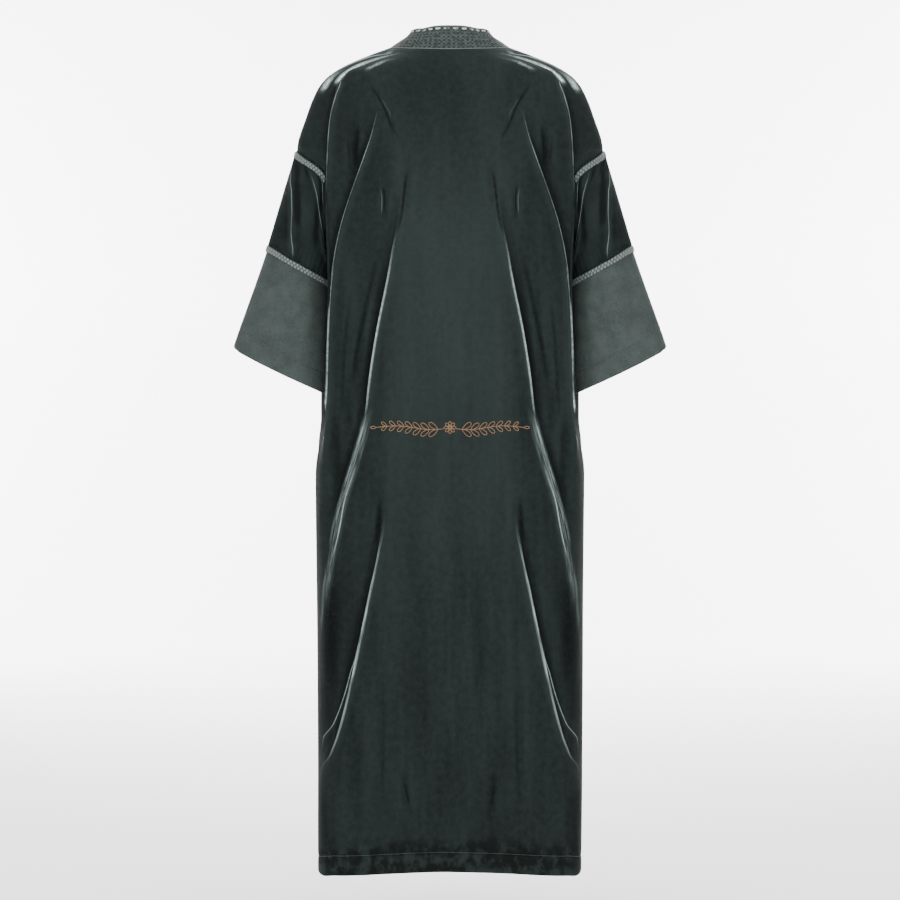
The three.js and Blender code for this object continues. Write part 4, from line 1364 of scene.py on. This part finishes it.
@dataclass
class FrontPanel:
    """One of the two fronts."""

    hand: Hand
    columns: int = 84
    cut: tuple[float, float] = (0.30, 1.36)
    area: float = 0.36

    def grid(self, drops: Array) -> tuple[Array, Array, Array]:
        """The left front on a grid.

        Args:
            drops: The rows' drops.

        Returns:
            The points, their normals and the painted shade laid on the cloth.
        """
        return FORM.surface(drops[:, None], Side.FRONT, self.places(drops))

    def places(self, drops: Array) -> Array:
        """The places on the sections, from the front's edge to the side seam.

        Args:
            drops: The rows' drops.

        Returns:
            Places as rows by columns.
        """
        edges = np.array([FORM.place_at(d, Side.FRONT, float(e)) for d, e in zip(drops, self.edge(drops))])
        return edges[:, None] + (2 - edges[:, None]) * np.linspace(0, 1, self.columns)[None, :]

    @staticmethod
    def edge(drops: Array) -> Array:
        """How far out the front's edge runs.

        Args:
            drops: Depths below the origin.

        Returns:
            The distances.
        """
        return smooth_curve([d for d, _ in FRONT_EDGE], [out for _, out in FRONT_EDGE], drops)

    def build(self, velvet: bpy.types.Material) -> bpy.types.Object:
        """Makes the front.

        Args:
            velvet: Its finish.

        Returns:
            The piece.
        """
        drops = body_rows(FRONT_TOP_END + 0.6)
        points, _, painted_shade = self.grid(drops)
        shoulder = FORM.plain(np.linspace(NECK, FRONT_TOP_END, self.columns), Side.FRONT, np.array(2.0))
        steps = np.array([0.0, 0.35, 0.7])[:, None, None]
        top = shoulder[None] * (1 - steps) + points[:1] * steps
        outer = np.concatenate([top, points])
        normals = grid_normals(outer, -1)
        deep = np.concatenate([[NECK, NECK + 2, NECK + 4], drops])
        out = FORM.lay_out(outer[3:, :, 0], drops[:, None], self.places(drops))
        out = np.vstack([outer[:3, :, 0], out])
        lay = np.stack([out * MM, np.broadcast_to(deep[:, None] * MM, outer.shape[:2])], axis=-1)
        inner = outer - normals * VELVET
        flip = np.array((self.hand.value, 1, 1))
        painted_shade = np.vstack([np.zeros((3, self.columns)), painted_shade])
        made = wall(f"front_cloth_{self.hand.word}", outer * flip, inner * flip, lay, painted_shade=painted_shade)
        return finish_piece(made, velvet, (f"front_{self.hand.word}",))

    def hem_line(self) -> Array:
        """The line along which the hem is sewn.

        Returns:
            Points as n by 3.
        """
        drops = np.array([HEM - HEM_STITCH - 1, HEM - HEM_STITCH, HEM - HEM_STITCH + 1])
        points, normals, _ = self.grid(drops)
        return (points[1] + normals[1] * HEM_THREAD_LIFT) * (self.hand.value, 1, 1)


# Creases of a sleeve: turn in degrees and share of the length at both ends, depth, width in millimetres.
SLEEVE_CREASES = (
    (17, 0.05, 36, 0.33, -2.2, 7),
    (36, 0.33, 79, 0.97, -2.2, 7),
    (28, 0.10, 64, 0.60, 2.4, 8),
    (60, 0.09, 99, 0.34, -2.4, 7),
    (99, 0.34, 140, 0.66, -2.4, 7),
    (84, 0.10, 108, 0.62, 2.8, 10),
    (122, 0.06, 142, 0.40, -1.6, 5),
    (109, 0.06, 132, 0.46, 2.0, 5),
    (-30, 0.05, -64, 0.90, -2.2, 9),
    (-84, 0.06, -112, 0.80, 2.6, 9),
    (-120, 0.06, -140, 0.60, -2.0, 8),
)


@dataclass
class Sleeve:
    """An upper sleeve of velvet, the cuff below it and the two braids over the seams."""

    hand: Hand
    around: int = 168
    cut: tuple[float, float] = (0.40, 0.17)
    area: float = 0.055
    cuff_cut: tuple[float, float] = (0.46, 0.20)
    turns: Array = field(init=False)
    armhole: Array = field(init=False)
    seam: Array = field(init=False)
    hem: Array = field(init=False)

    def __post_init__(self) -> None:
        """Works out the three rings."""
        self.turns = np.linspace(0, 2 * math.pi, self.around, endpoint=False)
        self.armhole = armhole_ring(self.around)
        self.seam = self.ring(CUFF_SEAM, self.turns)
        self.hem = self.ring(CUFF_HEM, self.turns)

    @staticmethod
    def ring(ring: Ring, turns: Array) -> Array:
        """Points of a ring of the sleeve.

        Args:
            ring: Its sizes.
            turns: Angles from the outer side of the arm round by the back.

        Returns:
            Points as n by 3.
        """
        share = (1 - np.cos(turns)) / 2
        out = ring.outer[0] + (ring.inner[0] - ring.outer[0]) * share
        drop = ring.outer[1] + (ring.inner[1] - ring.outer[1]) * share
        z = -drop - ring.droop * share**4 - ring.sag * np.sin(turns) ** 2
        bulge = np.sign(np.sin(turns)) * np.abs(np.sin(turns)) ** 0.85
        return np.stack([out, ring.depth * bulge - ring.forward, z], axis=-1)

    def mirror(self, points: Array) -> Array:
        """Points on this sleeve's side of the body.

        Args:
            points: Points on the left.

        Returns:
            The same or the mirrored points.
        """
        return points * (self.hand.value, 1, 1)

    def between(self, top: Array, bottom: Array, distance: Array) -> Array:
        """Rows between two rings.

        Args:
            top: The upper ring.
            bottom: The lower ring.
            distance: Distances below the upper ring, or shares of the way if all are up to 1.

        Returns:
            Points as rows by n by 3.
        """
        run = bottom - top
        if distance.max() > 1:
            return top[None] + unit(run)[None] * distance[..., None]
        return top[None] + run[None] * distance[..., None]

    def gathers(self, share: Array, length: Array) -> Array:
        """How far the gathers and creases of the velvet stand out.

        Args:
            share: The share of the length as rows by 1.
            length: The length of the sleeve at each turn.

        Returns:
            Distances in millimetres.
        """
        degrees = (np.degrees(self.turns) + 180) % 360 - 180
        wobble = uneven(self.turns[None] * ARM_RADIUS, share * SLEEVE_LONG, (60, 200), 31)
        top = np.exp(-share * length / 26) * (0.35 + 0.65 * smoothstep(share * length, 10, 20))
        bottom = np.exp(-(1 - share) * length / 20) * (0.35 + 0.65 * smoothstep((1 - share) * length, 4, 14))
        pleats = np.cos(ARMHOLE_PLEATS * self.turns + 1.6 * np.sin(3 * self.turns + 1))
        fine = np.cos(CUFF_PLEATS * self.turns + 1.3 * np.sin(4 * self.turns))
        out = 1.3 * pleats * top + 0.9 * fine * bottom + 0.7 * wobble
        for t0, s0, t1, s1, depth, width in SLEEVE_CREASES:
            way = (share - s0) / (s1 - s0)
            line = t0 + (t1 - t0) * np.clip(way, -0.15, 1.15)
            apart = np.radians((degrees[None] - line + 180) % 360 - 180) * ARM_RADIUS
            fade = smoothstep(way, -0.15, 0.12) * (1 - smoothstep(way, 0.88, 1.15))
            out = out - depth * fade * np.exp(-((apart / width) ** 2))
        free = smoothstep(share * length, 0, 6) * smoothstep((1 - share) * length, 0, 5)
        return (out + 1.4) * free

    def build_upper(self, velvet: bpy.types.Material) -> bpy.types.Object:
        """Makes the upper sleeve.

        Args:
            velvet: Its finish.

        Returns:
            The piece.
        """
        share = np.linspace(0.001, 0.999, 56)[:, None]
        points = self.between(self.armhole, self.seam, np.broadcast_to(share, (56, self.around)))
        normals = grid_normals(points, -1, around=True)
        length = np.linalg.norm(self.seam - self.armhole, axis=1)[None]
        relief = self.gathers(share, length)
        outer = points + normals * relief[..., None]
        valley = (np.roll(relief, 5, axis=1) + np.roll(relief, -5, axis=1)) / 2 - relief
        inner = outer - grid_normals(outer, -1, around=True) * VELVET
        degrees = (np.degrees(self.turns) + 180) % 360 - 180
        lay = np.stack(np.broadcast_arrays(degrees[None] * MM, share), axis=-1)
        # Painted shade in the gathers' valleys, and painted light on their crests.
        painted_shade = np.clip(valley / 2.0, -0.4, 1.1)
        name = f"sleeve_cloth_{self.hand.word}"
        made = wall(name, self.mirror(outer), self.mirror(inner), lay, around=True, painted_shade=painted_shade)
        return finish_piece(made, velvet, (f"sleeve_{self.hand.word}",))

    def cuff_surface(self, share: Array) -> tuple[Array, Array]:
        """The cuff's outer face.

        Args:
            share: The share of the length as rows by 1.

        Returns:
            The points and their normals.
        """
        rows = len(share)
        points = self.between(self.seam, self.hem, np.broadcast_to(share, (rows, self.around)))
        normals = grid_normals(points, -1, around=True)
        length = np.linalg.norm(self.hem - self.seam, axis=1)[None]
        to_hem = (1 - share) * length
        t = self.turns[None]
        ripple = 1.8 * np.sin(3 * t + 0.7) + 1.1 * np.sin(5 * t + 2.0)
        out = ripple * smoothstep(share, 0.1, 1.0)
        slant = np.radians(118) - t - 0.75 * (share - 0.2)
        out = out - 2.2 * np.exp(-((slant * CUFF_RADIUS / 11) ** 2)) * smoothstep(share, 0.15, 0.4)
        out = out + 1.2 * np.exp(-(((slant + 0.22) * CUFF_RADIUS / 9) ** 2)) * smoothstep(share, 0.15, 0.4)
        out = out - 0.7 * np.exp(-(((to_hem - CUFF_STITCH) / 1.8) ** 2))
        pucker = 0.35 * uneven(t * CUFF_RADIUS, to_hem, (16, 60), 17)
        out = out + pucker * np.exp(-np.abs(to_hem - CUFF_STITCH) / 12)
        out = out * smoothstep(share * length, 0, 5)
        turned = np.clip(1 - to_hem / CUFF_CORNER, 0, 1)
        out = out - CUFF_CORNER * (1 - np.sqrt(1 - turned**2)) * smoothstep(np.cos(t), 0.86, 1.0)
        moved = points + normals * out[..., None]
        return moved, grid_normals(moved, -1, around=True)

    def build_cuff(self, crepe: bpy.types.Material) -> bpy.types.Object:
        """Makes the cuff.

        Args:
            crepe: Its finish.

        Returns:
            The piece.
        """
        share = np.unique(
            np.r_[np.linspace(0.002, 1, 46), np.linspace(0.79, 0.86, 10), np.linspace(0.965, 1, 8)]
        )[:, None]
        outer, normals = self.cuff_surface(share)
        round_it, down = self.turns[None] * CUFF_RADIUS * MM, share * CUFF_LONG * MM
        lay = np.stack(np.broadcast_arrays(round_it, down), axis=-1)
        inner = outer - normals * CUFF_CLOTH
        name = f"cuff_cloth_{self.hand.word}"
        made = wall(name, self.mirror(outer), self.mirror(inner), lay, around=True)
        return finish_piece(made, crepe, (f"cuff_{self.hand.word}",))

    def cuff_line(self) -> Array:
        """The line along which the cuff's hem is sewn.

        Returns:
            Points as n by 3.
        """
        length = np.linalg.norm(self.hem - self.seam, axis=1)
        shares = np.linspace(0.6, 1, 160)[:, None]
        points, normals = self.cuff_surface(shares)
        row = np.abs((1 - shares) * length[None] - CUFF_STITCH).argmin(axis=0)
        each = np.arange(self.around)
        line = points[row, each] + normals[row, each] * CUFF_THREAD_LIFT
        return self.mirror(np.vstack([line, line[:1]]))

    def braid(
        self, name: str, centre: Array, across: Array, normals: Array, around: bool
    ) -> bpy.types.Object:
        """A gimp braid of two rows of loops.

        Args:
            name: The piece's name.
            centre: The line along its middle, n by 3.
            across: The direction across it at each point.
            normals: The outward normal at each point.
            around: True if it closes on itself.

        Returns:
            The object.
        """

        def closed(values: Array) -> Array:
            """The values, with the first again at the end where the braid closes on itself."""
            return np.vstack([values, values[:1]]) if around else values

        lengths = np.linalg.norm(np.diff(closed(centre), axis=0), axis=1)
        total = lengths.sum()
        count = int(total / BRAID_STEP)
        at = np.linspace(0, total, count, endpoint=not around)
        marks = np.r_[0, np.cumsum(lengths)]

        def along(values: Array) -> Array:
            """The values at the braid's stations."""
            ends = closed(values)
            return np.stack([np.interp(at, marks, ends[:, k]) for k in range(3)], axis=-1)

        middle, aside, out = along(centre), unit(along(across)), unit(along(normals))
        pitch = total / round(total / BRAID_PITCH) if around else BRAID_PITCH
        w = np.linspace(-1, 1, BRAID_LINES)[:, None]
        phase = 2 * math.pi * at[None] / pitch
        half = BRAID_WIDTH / 2 - 0.9 + 0.9 * np.cos(phase + np.where(w > 0, math.pi, 0))
        bead = np.zeros((BRAID_LINES, count))
        for row, shift in ((0.5, 0.0), (-0.5, math.pi)):
            apart = (w - row) / 0.5
            bump = np.clip(1 - apart**2 - np.sin((phase + shift) / 2) ** 2 * 0.95, 0, None)
            bead = np.maximum(bead, np.sqrt(bump))
        centre_cord = 0.75 * np.exp(-((w / 0.14) ** 2)) * (0.8 + 0.2 * np.cos(2 * phase))
        height = SEAM + 0.7 + 1.15 * np.maximum(bead, centre_cord) - 0.25 * np.abs(w) ** 4
        top = middle[None] + aside[None] * (w * half)[..., None] + out[None] * height[..., None]
        under = middle[None] + aside[None] * (w * half)[..., None] + out[None] * SEAM
        lay = np.stack(np.broadcast_arrays(at[None] * MM, w * BRAID_WIDTH / 2 * MM), axis=-1)
        # Painted shade in the gaps between the beads.
        painted_shade = 1 - np.maximum(bead, centre_cord)
        return wall(name, self.mirror(top), self.mirror(under), lay, around=around, painted_shade=painted_shade)

    def build_braids(self, gimp: bpy.types.Material) -> list[bpy.types.Object]:
        """Makes the braid over the armhole seam and the braid over the cuff seam.

        Args:
            gimp: Their finish.

        Returns:
            The two pieces.
        """
        down = unit(self.seam - self.armhole)
        below = np.broadcast_to([[0.0], [3.0], [13.0]], (3, self.around))
        near = self.between(self.armhole, self.seam, below)
        normals = grid_normals(near, -1, around=True)[1]
        quarter = int(np.argmax(self.armhole[:, 0] < BRAID_END))
        pick = np.arange(-quarter, quarter + 1) % self.around
        centre = self.armhole + down * (BRAID_START + BRAID_WIDTH / 2) + normals * 0.9
        upper = self.braid(f"armhole_gimp_{self.hand.word}", centre[pick], down[pick], normals[pick], False)
        away = unit(self.hem - self.seam)
        rows = np.stack([self.seam - down * 8, self.seam, self.seam + away * 8])
        out = grid_normals(rows, -1, around=True)[1]
        lower = self.braid(f"cuff_gimp_{self.hand.word}", self.seam + out * 0.9, unit(down + away), out, True)
        finish_piece(upper, gimp, (f"armhole_braid_{self.hand.word}",))
        finish_piece(lower, gimp, (f"cuff_braid_{self.hand.word}",))
        return [upper, lower]


@dataclass
class Band:
    """The woven band that edges the neck and both fronts."""

    lines: int = 44
    neck_cut: tuple[float, float] = (0.27, 0.043)
    front_cut: tuple[float, float] = (1.40, 0.043)

    @staticmethod
    def frames(normals: Array, stands: Array, runs: Array) -> tuple[Array, Array]:
        """The directions across and out of the band at each station.

        Args:
            normals: The cloth's normals at the seam.
            stands: How much steeper than the cloth the band stands.
            runs: The seam's direction.

        Returns:
            The two directions, n by 3 each.
        """
        across = unit(np.cross(runs, normals))
        turned = across * np.cos(stands)[:, None] - np.cross(runs, across) * np.sin(stands)[:, None]
        return turned, unit(np.cross(turned, runs))

    def strip(self, name: str, points: Array, across: Array, out: Array, start: float) -> bpy.types.Object:
        """The band along a seam.

        Args:
            name: The piece's name.
            points: The seam's points.
            across: The direction from the seam to the band's free edge.
            out: The band's outward direction.
            start: The length of band before the first point.

        Returns:
            The object.
        """
        froms, raises, thicks = zip(*BAND_LINES)
        v = np.linspace(0, BAND_WIDTH, self.lines)
        raised, thick = smooth_curve(froms, raises, v), smooth_curve(froms, thicks, v)
        length = start + np.r_[0, np.cumsum(np.linalg.norm(np.diff(points, axis=0), axis=1))]
        u = length[:, None]
        rows = 0.22 * np.abs(np.sin(v * math.pi / BAND_ROW)) * (v > 2) * (v < 34)
        piping = 0.5 * np.exp(-(((v - 0.9) / 0.8) ** 2))
        cord = (v > 39) * 0.3 * np.sin(CORD_TWIST[0] * u + CORD_TWIST[1] * v[None])
        in_dash = np.abs((u / (BAND_DASH / 2)) % 2 - 1) < 0.38
        slot = -0.5 * np.exp(-(((v - 37.0) / 1.2) ** 2)) * in_dash
        lift = raised[None] + rows[None] + piping[None] + cord + slot
        base = points[:, None] + across[:, None] * np.maximum(v, SEAM)[None, :, None]
        outer = base + out[:, None] * lift[..., None]
        inner = base + out[:, None] * (raised - thick)[None, :, None]
        lay = np.stack(np.broadcast_arrays(u * MM, v[None] * MM), axis=-1)
        return wall(name, outer, inner, lay)

    def shoulder(self) -> tuple[Array, Array, Array]:
        """The end of the band at the left shoulder seam.

        Returns:
            The seam's point, the cloth's normal and the band's run there.
        """
        point = FORM.plain(np.array(NECK), Side.BACK, np.array(2.0))
        down = FORM.plain(np.array(NECK + 6), Side.BACK, np.array(2.0)) - point
        normal = unit(np.array((-down[2], 0.0, down[0])))
        before = FORM.plain(np.array(NECK), Side.BACK, np.array(1.8))
        drop = 20.0
        edge = FORM.place_at(drop, Side.FRONT, float(FrontPanel.edge(np.array(drop))))
        after = FORM.plain(np.array(drop), Side.FRONT, np.array(edge))
        return point, normal, unit(after - before)

    def build_neck(self, weave: bpy.types.Material) -> bpy.types.Object:
        """Makes the band round the nape.

        Args:
            weave: Its finish.

        Returns:
            The piece.
        """
        places = np.linspace(0, 2, 150)
        drops = np.array([NECK, NECK + 3, NECK + 6])[:, None]
        rows, cloth_normals, _ = FORM.surface(drops, Side.BACK, places[None])
        points, normals = rows[0], cloth_normals[0]
        runs = unit(np.gradient(points, axis=0))
        point, end_normal, end_run = self.shoulder()
        near = smoothstep(places, 1.45, 2.0)[:, None]
        normals = unit(normals * (1 - near) + end_normal * near)
        runs = unit(runs * (1 - near) + end_run * near)
        normals[0], runs[0] = unit(normals[0] * (0, 1, 1)), (1, 0, 0)
        points[-1] = point
        stands = STAND_BACK + (STAND_SIDE - STAND_BACK) * (places / 2) ** 2
        across, out = self.frames(normals, stands, runs)
        flip = np.array((-1, 1, 1))
        both = [np.vstack([(a * flip)[:0:-1], a]) for a in (points, across, out)]
        made = self.strip("neck_band_weave", *both, 0.0)
        return finish_piece(made, weave, ("neck_band",))

    def build_front(self, hand: Hand, weave: bpy.types.Material) -> bpy.types.Object:
        """Makes the band down a front.

        Args:
            hand: Which front.
            weave: Its finish.

        Returns:
            The piece.
        """
        near_neck, below = np.arange(13.0, 180, 3.0), np.arange(180.0, HEM - 3, 5.0)
        drops = np.r_[near_neck, below, [HEM]]
        grid, cloth_normals, _ = FrontPanel(hand).grid(drops)
        point, end_normal, end_run = self.shoulder()
        points, normals = np.vstack([point, grid[:, 0]]), np.vstack([end_normal, cloth_normals[:, 0]])
        deep = np.r_[NECK, drops]
        near = (1 - smoothstep(deep, 6, 34))[:, None]
        normals = unit(normals * (1 - near) + end_normal * near)
        runs = unit(unit(np.gradient(points, axis=0)) * (1 - near) + end_run * near)
        stands = STAND_SIDE * (1 - smoothstep(deep, 6, 75))
        across, out = self.frames(normals, stands, runs)
        flip = np.array((hand.value, 1, 1))
        name = f"front_band_weave_{hand.word}"
        made = self.strip(name, points * flip, across * flip, out * flip, BAND_BEFORE_FRONT)
        return finish_piece(made, weave, (f"front_band_{hand.word}",))


@dataclass
class LeafSprig:
    """A plain embroidered sprig of leaves on the back, alike on both sides of the middle."""

    half: float = 120.0
    drop: float = 632.0
    thread: float = 0.6
    leaves: int = 7  # pairs on each side
    first_leaf: float = 20.0  # how far out the first pair grows
    leaf_step: float = 13.5
    leaf_long: float = 17.0  # the first pair's length
    leaf_shrink: float = 1.1  # how much shorter each next pair is
    lean: float = 38.0  # degrees between a leaf and the stem
    petals: int = 8
    petal_long: float = 9.5
    petal_wide: float = 2.3

    def stem(self, x: Array) -> Array:
        """How far the stem lies below its middle line.

        Args:
            x: Distance from the middle.

        Returns:
            The distance down.
        """
        return 4.0 * np.sin(x / self.half * math.pi * 2.0) * (1 - x / self.half * 0.5)

    def paths(self) -> list[Array]:
        """The threads as lines on the flat cloth.

        Returns:
            Arrays of (out, down) pairs.
        """
        found = []
        t = np.linspace(0, 1, 90)
        found.append(np.stack([9 + (self.half - 9) * t, self.stem(9 + (self.half - 9) * t)], -1))
        loop = np.linspace(0, 2 * math.pi, 40)
        for k in range(self.leaves):
            root = self.first_leaf + k * self.leaf_step
            size = self.leaf_long - self.leaf_shrink * k
            for turn in (-1, 1):
                lean = math.radians(self.lean) * turn
                long = size * (np.cos(loop) * -0.5 + 0.5)
                wide = size * 0.19 * np.sin(loop) * (1 - 0.35 * np.cos(loop))
                x = root + long * math.cos(lean) - wide * math.sin(lean)
                y = self.stem(np.array(root)) + long * math.sin(lean) + wide * math.cos(lean)
                found.append(np.stack([x, y], -1))
        tip = 8.0 * (np.cos(loop) * -0.5 + 0.5)
        found.append(np.stack([self.half - 1 + tip, self.stem(np.array(self.half)) + 1.9 * np.sin(loop)], -1))
        return found

    def build(self, bronze: bpy.types.Material) -> bpy.types.Object:
        """Makes the sprig.

        Args:
            bronze: The thread's finish.

        Returns:
            The piece.
        """
        paths = []
        for path in self.paths():
            for sign in (1, -1):
                paths.append(FORM.on_back(path[:, 0] * sign, self.drop + path[:, 1], self.thread * 0.55))
        loop = np.linspace(0, 2 * math.pi, 30)
        for k in range(self.petals):
            angle = k * 2 * math.pi / self.petals
            long, wide = self.petal_long * (0.56 - 0.44 * np.cos(loop)), self.petal_wide * np.sin(loop)
            x = long * math.cos(angle) - wide * math.sin(angle)
            y = long * math.sin(angle) + wide * math.cos(angle)
            paths.append(FORM.on_back(x, self.drop + y, self.thread * 0.55))
        made = tubes("leaf_sprig", paths, self.thread)
        return finish_piece(made, bronze)


# ---------------------------------------------------------------- the studio


def area_light(name: str, place: Point, aim: Point, size: tuple[float, float], power: float) -> None:
    """A soft studio light.

    Args:
        name: Its name.
        place: Where it stands, in metres.
        aim: What it points at.
        size: Its width and height.
        power: Its power in watts.
    """
    data = bpy.data.lights.new(name, "AREA")
    data.shape, data.size, data.size_y, data.energy = "RECTANGLE", size[0], size[1], power
    made = bpy.data.objects.new(name, data)
    made.location = place
    direction = np.array(aim) - np.array(place)
    yaw = math.atan2(direction[1], direction[0]) - math.pi / 2
    pitch = math.atan2(direction[2], math.hypot(direction[0], direction[1]))
    made.rotation_euler = (math.pi / 2 + pitch, 0, yaw)
    bpy.context.scene.collection.objects.link(made)


def studio() -> None:
    """The floor, the lights, the world and the camera."""
    # In metres: the floor's height, how far it goes, the backdrop's height and the bend between the two.
    floor_z, reach, rise, bend = -1.46, 9.0, 5.0, 1.6
    profile = [(reach, floor_z), (-reach + bend, floor_z)]
    profile += [
        (-reach + bend - bend * math.sin(a), floor_z + bend - bend * math.cos(a))
        for a in np.linspace(0, math.pi / 2, 16)[1:]
    ]
    profile.append((-reach, floor_z + rise))
    points = np.array([(x, y, z) for y, z in profile for x in (-10.0, 10.0)]) / MM
    faces = np.array([(2 * i, 2 * i + 1, 2 * i + 3, 2 * i + 2) for i in range(len(profile) - 1)])
    floor = to_object("studio_floor", points, faces)
    paint = Finish("plain pale floor")
    surface = paint.add("ShaderNodeBsdfPrincipled", {"Base Color": srgb("#f7f7f7"), "Roughness": 0.9})
    paint.add("ShaderNodeOutputMaterial", {"Surface": surface})
    floor.data.materials.append(paint.material)

    world = bpy.data.worlds.new("plain studio")
    world.use_nodes = True
    ground = world.node_tree.nodes["Background"]
    ground.inputs["Color"].default_value = (1.0, 1.0, 1.0, 1.0)
    ground.inputs["Strength"].default_value = 0.75
    bpy.context.scene.world = world

    middle = (0.0, 0.0, -0.6)
    for side in (-1, 1):
        area_light(f"softbox_{side + 2}", (2.0 * side, 3.4, 0.2), middle, (0.9, 2.4), 76)
        backdrop = (0.8 * side, -reach, -0.4)
        area_light(f"backdrop_light_{side + 2}", (4.6 * side, -5.6, 0.8), backdrop, (1.2, 3.0), 1050)
    area_light("front_softbox", (0.0, 4.8, 0.6), middle, (2.4, 1.6), 108)
    area_light("top_softbox", (0.0, 0.2, 2.2), (0.0, 0.0, 0.0), (2.0, 1.0), 80)
    area_light("floor_light", (0.0, -4.6, 3.4), (0.0, -4.8, -1.4), (6.0, 3.0), 760)

    # In metres: how far behind the abaya the camera stands, its height, and how wide its view is there.
    away, height, seen = 4.4, -0.668, 1.4805
    sensor = 36.0
    data = bpy.data.cameras.new("camera")
    data.sensor_width, data.lens = sensor, sensor * away / seen
    data.dof.use_dof = False
    camera = bpy.data.objects.new("camera", data)
    camera.location = (0.0, away, height)
    camera.rotation_euler = (math.pi / 2, 0, math.pi)
    bpy.context.scene.collection.objects.link(camera)
    bpy.context.scene.camera = camera


def main() -> None:
    """Builds the abaya from its pieces and sets up the studio."""
    logging.basicConfig(level=logging.INFO, format="%(message)s")
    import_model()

    back_velvet = VelvetFinish("short pile velvet, back", BACK_RIDGES, middle_light=BACK_MIDDLE_LIGHT).build()
    front_velvet = VelvetFinish("short pile velvet, front", FRONT_RIDGES).build()
    sleeve_velvet = VelvetFinish(
        "short pile velvet, sleeve", SLEEVE_RIDGES, unit_drop=0.01, span=1.0, wide=0.2
    ).build()
    crepe, gimp, weave = CrepeFinish().build(), GimpFinish().build(), BandFinish().build()
    bronze = ThreadFinish("bronze embroidery thread", "#553d29", "#80603f", 0.5, 0.1).build()
    sewing = ThreadFinish("grey sewing thread", "#2c3432", "#4e5856").build()
    cuff_sewing = ThreadFinish("dark sewing thread", "#232a28", "#3c4543").build()

    back = BackPanel()
    back_cloth = back.build(back_velvet)
    LOG.info("back: %d faces", len(back_cloth.data.polygons))
    band = Band()
    neck = band.build_neck(weave)
    sewn = stitches(back.hem_line(), 3.0, 0.9)
    for hand in Hand:
        front = FrontPanel(hand)
        front_cloth = front.build(front_velvet)
        sewn += stitches(front.hem_line(), 3.0, 0.9)
        strip = band.build_front(hand, weave)
        sleeve = Sleeve(hand)
        upper, cuff = sleeve.build_upper(sleeve_velvet), sleeve.build_cuff(crepe)
        braids = sleeve.build_braids(gimp)
        cuff_thread = tubes(f"cuff_stitches_{hand.word}", stitches(sleeve.cuff_line(), 2.6, 0.8), 0.25, 4)
        cuff_seam = finish_piece(cuff_thread, cuff_sewing)
        LOG.info("%s front, band, sleeve and cuff done", hand.word)
    hem = finish_piece(tubes("hem_stitches", sewn, 0.3, 4), sewing)
    sprig = LeafSprig().build(bronze)

    studio()


if __name__ == "__main__":
    main()
